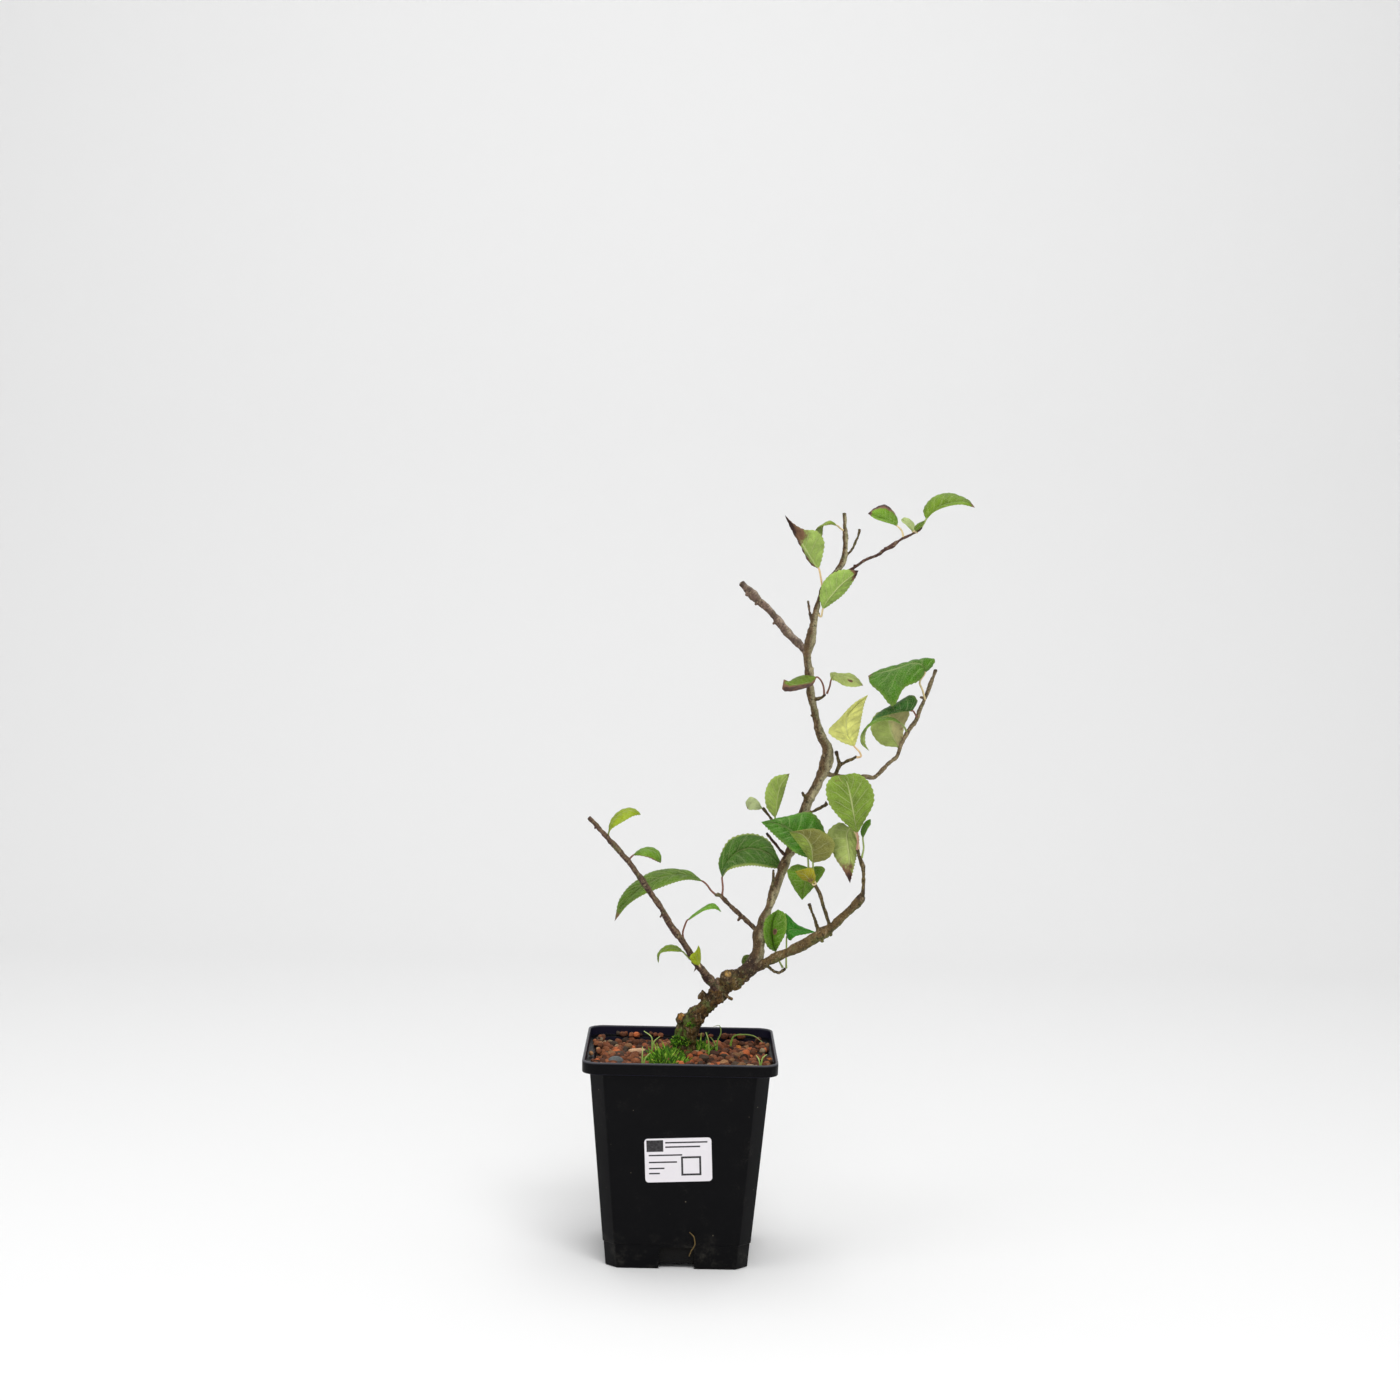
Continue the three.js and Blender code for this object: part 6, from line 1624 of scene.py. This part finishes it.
def leaf_section(rib_route, margins, rows, columns):
    """Points of a leaf's blade, its rib, and the shares along it and across. Along the rib a curve
    runs through its knots. From it each half reaches out to its margin's curve, and arches in between
    by a share of the reach, square to the blade."""
    rib_knots = seen(rib_route)
    shares = np.linspace(0, 1, rows)
    rib = along(rib_knots, shares)
    across = np.linspace(-1, 1, columns)
    tangent = unit(np.gradient(rib, axis=0))
    blade = np.zeros((rows, columns, 3))
    for route, part, turn in zip(margins, (across >= 0, across < 0), (1, -1)):
        margin = along(np.vstack((rib_knots[:1], seen(route), rib_knots[-1:])), shares)
        s = np.abs(across[part])[None, :, None]
        reach = margin - rib
        lift = turn * BLADE_ARCH * np.cross(tangent, reach)
        blade[:, part] = rib[:, None] + s * reach[:, None] + s * (1 - s) * lift[:, None]
    u, s = np.meshgrid(shares, across, indexing="ij")
    return blade, rib, u, s


def leaf_form(blade, rib, u, s, length, seed, turned, settings):
    """The upper side and underside of a blade: puffed up between the side veins along a sine, sunk
    along the rib, rippled towards the margin, and toothed by a zigzag along it. Both sides stand off
    the blade by half its thickness, which falls off at the margin, and the under one by the rib."""
    off = np.abs(s)
    normal = unit(np.cross(np.gradient(blade, axis=0), np.gradient(blade, axis=1)))
    normal[0], normal[-1] = normal[1], normal[-2]
    size = np.clip(length / FULL_LEAF, 0.4, 1)
    phase = (u - VEIN_LEAN * off + VEIN_BOW * off ** 2) * SIDE_VEINS + np.sign(s) * VEIN_STAGGER
    puff = np.abs(np.sin(phase * math.pi)) ** 0.7 - 0.5
    puff = puff * np.sin(np.clip(off, 0, 1) * math.pi) ** 0.6
    ripple = noise(blade, 11, seed) * 0.5 * off ** 2
    valley = -np.exp(-(s / 0.06) ** 2)
    facing = -1 if turned else 1
    raised = size * facing * (settings.quilting / MM * puff + 0.35 * valley) + ripple * size
    taper = np.minimum(1, np.minimum(u, 1 - u) * 8)
    blade = blade + normal * (raised * taper)[..., None]
    teeth = settings.teeth / MM * size * np.abs(np.mod(u * length / TOOTH_STEP, 1) - 0.5) * 2
    out = unit(blade - rib[:, None] + 1e-6)
    blade = blade + out * ((teeth - TOOTH_DEPTH) * (off > 0.999) * taper)[..., None]
    half = 0.5 * settings.leaf_thickness / MM
    ridge = 0.55 * size * np.exp(-(s / 0.07) ** 2) * (1.1 - 0.8 * u)
    rim = np.clip((1 - off) * 8, 0.15, 1) * np.clip(np.minimum(u, 1 - u) * 20, 0.2, 1)
    upper = blade + normal * (facing * half * rim)[..., None]
    under = blade - normal * (facing * (half + ridge) * rim)[..., None]
    return blade, upper, under


def leaf_values(blade, u, s, seed, looks):
    """The wilt, the pale rim and the tones of both sides, each for the upper side and then the under
    one. Dead patches are ellipses on the lie that fade out."""
    off = np.abs(s)
    wilt = looks["tip"] * rise(u, 0.82, 0.97) * 1.6
    wilt = np.maximum(wilt, looks["edge"] * rise(off, 0.84, 0.98))
    for place_u, place_s, reach_u, reach_s, strength in looks.get("dead", ()):
        away = np.hypot((u - place_u) / reach_u, (s - place_s) / reach_s)
        wilt = np.maximum(wilt, strength * np.clip(1.6 - 1.3 * away, 0, 1))
    cloud = 0.82 * (1 + 0.12 * noise(blade, 8, seed + 3)) * (1 + 0.1 * off * np.sign(seed % 2 - 0.5))
    share = np.clip(0.5 - s * 6 + 0.6 * noise(blade, 4, seed), 0, 1).reshape(-1, 1)
    tones = []
    for tone in (looks.get("upper", UPPER), looks.get("under", UNDER)):
        tone = linear(tone)
        if "right" in looks:
            tone = blended(tone, linear(looks["right"]), share)
        tones.append(tone * cloud.reshape(-1, 1))
    rim = rise(off, 0.86, 0.96) * looks.get("rim", 0.3)
    return {"wilt": np.tile(wilt.ravel(), 2), "tone": np.vstack(tones), "rim": np.tile(rim.ravel(), 2)}


def build_leaf(name, settings):
    """A leaf: its blade as a thin skin, upper side and underside, with a toothed margin, the blade
    puffed up between the side veins, a raised midrib under it, and its stalk. A leaf that gives an
    under tone is turned and shows its underside."""
    stalk_route, rib_route, *margins = LEAVES[name]
    looks = LEAF_LOOKS[name]
    seed = int(name[-2:])
    turned = "under" in looks
    length = np.linalg.norm(np.diff(seen(rib_route), axis=0), axis=1).sum()
    rows = int(np.clip(length / LEAF_ROWS[0], *LEAF_ROWS[1:]))
    columns = int(np.clip(length / LEAF_COLUMNS[0], *LEAF_COLUMNS[1:])) // 2 * 2 + 1
    blade, rib, u, s = leaf_section(rib_route, margins, rows, columns)
    blade, upper, under = leaf_form(blade, rib, u, s, length, seed, turned, settings)
    lie = np.stack((u, (s + 1) / 2), -1).reshape(-1, 2)
    blocks = slab_faces(rows, columns)
    if not turned:
        blocks = [block[:, ::-1] for block in blocks]
    shape = Shape()
    values = leaf_values(blade, u, s, seed, looks)
    shape.add(np.stack((upper, under)), blocks, (0, 1, 1), lie=np.vstack((lie, lie)), **values)

    shares = np.linspace(0, 1, 14)
    points = curve_at(np.vstack((seen(stalk_route), rib[:1], rib[2:3])), shares)
    stout = settings.stalk / MM / 2 * (0.8 + 0.2 * np.clip(length / FULL_LEAF, 0.4, 1))
    radii = stout * np.interp(shares, (0, 0.15, 0.7, 1), (1.25, 1, 0.9, 0.7))
    stalk = tube_rings(points, radii, 10)
    shape.add_tube(stalk, 2, tone=linear(looks["stalk"]), wilt=0, rim=0, lie=(0.5, 0.5))
    return shape.piece(name + "_blade", ["leaf upper", "leaf under", "leaf stalk"], [name], "leaf", 70)


def build_backdrop():
    """The backdrop: a floor that turns up into a wall through a quarter circle."""
    turn = np.linspace(0, math.pi / 2, 24)
    wall = BACKDROP_WALL + BACKDROP_BEND
    y = np.concatenate(((BACKDROP_FRONT,), BACKDROP_WALL + BACKDROP_BEND * np.sin(turn), (wall,)))
    z = np.concatenate(((0.0,), BACKDROP_BEND * (1 - np.cos(turn)), (BACKDROP_TOP,)))
    x = np.array((-BACKDROP_HALF, BACKDROP_HALF))
    points = np.stack((np.broadcast_to(x, (len(y), 2)), np.repeat(y[:, None], 2, 1),
                       np.repeat(z[:, None], 2, 1)), -1) / MM
    shape = Shape()
    shape.add(points, [grid_faces(len(y), 2)])
    piece = place_mesh(shape.mesh("backdrop"))
    piece.data.materials.append(look("backdrop"))
    piece.data.shade_smooth()


def add_lights():
    """A large light above and in front to the right, weaker ones on the left and above, each a soft
    square that looks at the aim, and a pale world."""
    scene = bpy.context.scene
    for name, (place, size, power) in LIGHTS.items():
        lamp = bpy.data.lights.new(name, "AREA")
        lamp.size = size
        lamp.energy = power
        thing = bpy.data.objects.new(name, lamp)
        scene.collection.objects.link(thing)
        way = (Vector(place) - Vector(LIGHT_AIM)).normalized()
        thing.rotation_euler = way.to_track_quat("Z", "Y").to_euler()
        thing.location = place
    world = bpy.data.worlds.new("studio")
    world.use_nodes = True
    world.node_tree.nodes["Background"].inputs["Color"].default_value = (1, 1, 1, 1)
    world.node_tree.nodes["Background"].inputs["Strength"].default_value = WORLD_STRENGTH
    scene.world = world
    scene.view_settings.view_transform = "Standard"


def add_camera():
    """The camera, at the eye and turned as the picture was taken."""
    camera = bpy.data.cameras.new("camera")
    camera.lens = CAMERA_LENS
    camera.sensor_width = CAMERA_SENSOR
    camera.clip_end = 20
    yaw, pitch, roll = (math.radians(angle) for angle in CAMERA_TURN)
    forward = Vector((math.sin(yaw) * math.cos(pitch), math.cos(yaw) * math.cos(pitch), -math.sin(pitch)))
    level = Vector((math.cos(yaw), -math.sin(yaw), 0))
    raised = level.cross(forward)
    right = level * math.cos(roll) + raised * math.sin(roll)
    up = right.cross(forward)
    turn = Matrix((right, up, -forward)).transposed().to_4x4()
    thing = bpy.data.objects.new("camera", camera)
    bpy.context.scene.collection.objects.link(thing)
    thing.matrix_world = Matrix.Translation(Vector(EYE) * MM) @ turn
    bpy.context.scene.camera = thing


# Settings that a user would change


def length(name, description, default, **limits):
    """A length setting, in metres."""
    return FloatProperty(name=name, description=description, default=default, unit="LENGTH", **limits)


def factor(name, description, default):
    """A setting that is a share of the usual amount."""
    return FloatProperty(
        name=name, description=description, default=default, min=0, max=2, subtype="FACTOR")


def colour(name, description, *screen):
    """A colour setting, from screen values."""
    return FloatVectorProperty(
        name=name, description=description, default=shade(*screen), subtype="COLOR")


class BonsaiPot(bpy.types.PropertyGroup):
    """Sizes and colours of the pot, its label, its soil and its moss."""

    wall: length("Wall", "Thickness of the pot's wall", 0.0014, min=0.0008, max=0.003)
    unevenness: length("Unevenness", "How far the pot's skin waves", 0.00015)
    label_depth: length("Label Depth", "How far the label stands out", 0.0003)
    grains: IntProperty(name="Grains", description="Number of soil grains", default=1300, min=50)
    grain_size: length("Grain Size", "Mean size of a soil grain", 0.0042)
    moss_length: length("Moss Length", "Length of a moss shoot", 0.0034)
    plastic: colour("Plastic", "Colour of the pot", 6, 6, 8)
    # Painted bluish reflection on the pot's inner walls.
    inside: colour("Inside", "Colour of the pot's inner walls", 24, 22, 38)
    # Painted highlight along the rim's top edge.
    dust: colour("Dust", "Colour of dust on the pot", 120, 116, 106)
    edge: colour("Edge", "Colour of the rim's worn edge", 84, 84, 90)
    speck: colour("Specks", "Colour of specks on the pot", 104, 98, 84)
    paper: colour("Paper", "Colour of the label", 226, 222, 226)
    ink: colour("Ink", "Colour of the label's print", 12, 10, 13)


class BonsaiWood(bpy.types.PropertyGroup):
    """Sizes and colours of the wood."""

    wood_grain: length("Grain", "Size of the finest bumps that the wood can hold", 0.0005)
    knots: factor("Knots", "How far the stems swell at their knots", 1.0)
    bark_relief: factor("Relief", "Strength of the bark's bumps", 1.0)
    pale: colour("Scuffs", "Colour of scuffed bark", 164, 144, 112)
    # Pits colour: partly painted shade in the sunken pits.
    pits: colour("Pits", "Colour of pits in the bark", 34, 26, 20)
    lichen: colour("Lichen", "Colour of lichen", 116, 120, 76)
    moss: colour("Moss", "Colour of moss on the bark", 76, 104, 28)


class BonsaiLeaves(bpy.types.PropertyGroup):
    """Sizes and colours of the leaves."""

    leaf_thickness: length("Thickness", "Thickness of a blade", 0.00032)
    quilting: length("Quilting", "How far the blade puffs up between veins", 0.0008)
    teeth: length("Teeth", "Depth of the margin's teeth", 0.0008)
    stalk: length("Stalk", "Thickness of a leaf's stalk", 0.0012)
    vein: colour("Veins", "Colour of the veins", 204, 208, 150)
    margin: colour("Margin", "Colour of the blade's margin", 170, 182, 96)
    wither: colour("Withered", "Colour of withered edges", 118, 88, 66)
    dead: colour("Dead", "Colour of dead parts", 68, 50, 45)


class BONSAI_OT_materials(bpy.types.Operator):
    """Make the materials and the node groups that they share"""

    bl_idname = "bonsai.materials"
    bl_label = "Make Materials"

    def execute(self, context):
        scene = context.scene
        grime_group()
        mottle_group()
        vein_group()
        pot_material(scene.bonsai_pot)
        label_material(scene.bonsai_pot)
        toned_material("soil", 0.85, 700.0, 0.5, 0.3, 0.25)
        toned_material("moss", 0.8, 400.0, 0.4, 0.1, 0.2)
        toned_material("litter", 0.75, 500.0, 0.6, 0.2, 0.3)
        toned_material("grass", 0.5, 300.0, 0.25, 0.1, 0.4)
        toned_material("leaf stalk", 0.5, 500.0, 0.4, 0.1, 0.4)
        bark_material(scene.bonsai_wood)
        for side in LEAF_SIDES:
            leaf_material(side, scene.bonsai_leaves)
        backdrop_material()
        return {"FINISHED"}


class BONSAI_OT_pot(bpy.types.Operator):
    """Build the pot and its label"""

    bl_idname = "bonsai.pot"
    bl_label = "Build Pot"

    def execute(self, context):
        build_pot(context.scene.bonsai_pot)
        build_label(context.scene.bonsai_pot)
        return {"FINISHED"}


class BONSAI_OT_ground(bpy.types.Operator):
    """Build the soil, moss, grass and litter"""

    bl_idname = "bonsai.ground"
    bl_label = "Build Ground"

    def execute(self, context):
        settings = context.scene.bonsai_pot
        build_soil(settings)
        for name in MOSS_PATCHES:
            build_moss(name, settings)
        build_trunk_moss(settings)
        for name in GRASS:
            build_grass(name)
        for name in LITTER:
            build_litter(name)
        build_dry_root()
        return {"FINISHED"}


class BONSAI_OT_wood(bpy.types.Operator):
    """Build the trunk, branches and buds"""

    bl_idname = "bonsai.wood"
    bl_label = "Build Wood"

    def execute(self, context):
        build_wood(context.scene.bonsai_wood)
        return {"FINISHED"}


class BONSAI_OT_leaves(bpy.types.Operator):
    """Build the leaves"""

    bl_idname = "bonsai.leaves"
    bl_label = "Build Leaves"

    def execute(self, context):
        for name in LEAVES:
            build_leaf(name, context.scene.bonsai_leaves)
        return {"FINISHED"}


class BONSAI_OT_stage(bpy.types.Operator):
    """Set up the backdrop, lights and camera"""

    bl_idname = "bonsai.stage"
    bl_label = "Set Up Stage"

    def execute(self, context):
        build_backdrop()
        add_lights()
        add_camera()
        return {"FINISHED"}


STEPS = ("materials", "pot", "ground", "wood", "leaves", "stage")
SETTINGS = {"bonsai_pot": BonsaiPot, "bonsai_wood": BonsaiWood, "bonsai_leaves": BonsaiLeaves}


class BONSAI_PT_panel(bpy.types.Panel):
    """Settings and steps of the bonsai"""

    bl_label = "Bonsai"
    bl_idname = "BONSAI_PT_panel"
    bl_space_type = "VIEW_3D"
    bl_region_type = "UI"
    bl_category = "Bonsai"

    def draw(self, context):
        for key in SETTINGS:
            group = getattr(context.scene, key)
            column = self.layout.column()
            for name in group.__annotations__:
                column.prop(group, name)
        for step in STEPS:
            self.layout.operator("bonsai." + step)


CLASSES = (
    *SETTINGS.values(), BONSAI_OT_materials, BONSAI_OT_pot, BONSAI_OT_ground, BONSAI_OT_wood,
    BONSAI_OT_leaves, BONSAI_OT_stage, BONSAI_PT_panel,
)


def register():
    """Adds the classes and the scene's settings."""
    for kind in CLASSES:
        bpy.utils.register_class(kind)
    for key, kind in SETTINGS.items():
        setattr(bpy.types.Scene, key, PointerProperty(type=kind))


def unregister():
    """Takes away what register added."""
    for key in SETTINGS:
        delattr(bpy.types.Scene, key)
    for kind in reversed(CLASSES):
        bpy.utils.unregister_class(kind)


def main():
    """Registers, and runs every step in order."""
    register()
    for step in STEPS:
        getattr(bpy.ops.bonsai, step)()


if __name__ == "__main__":
    main()
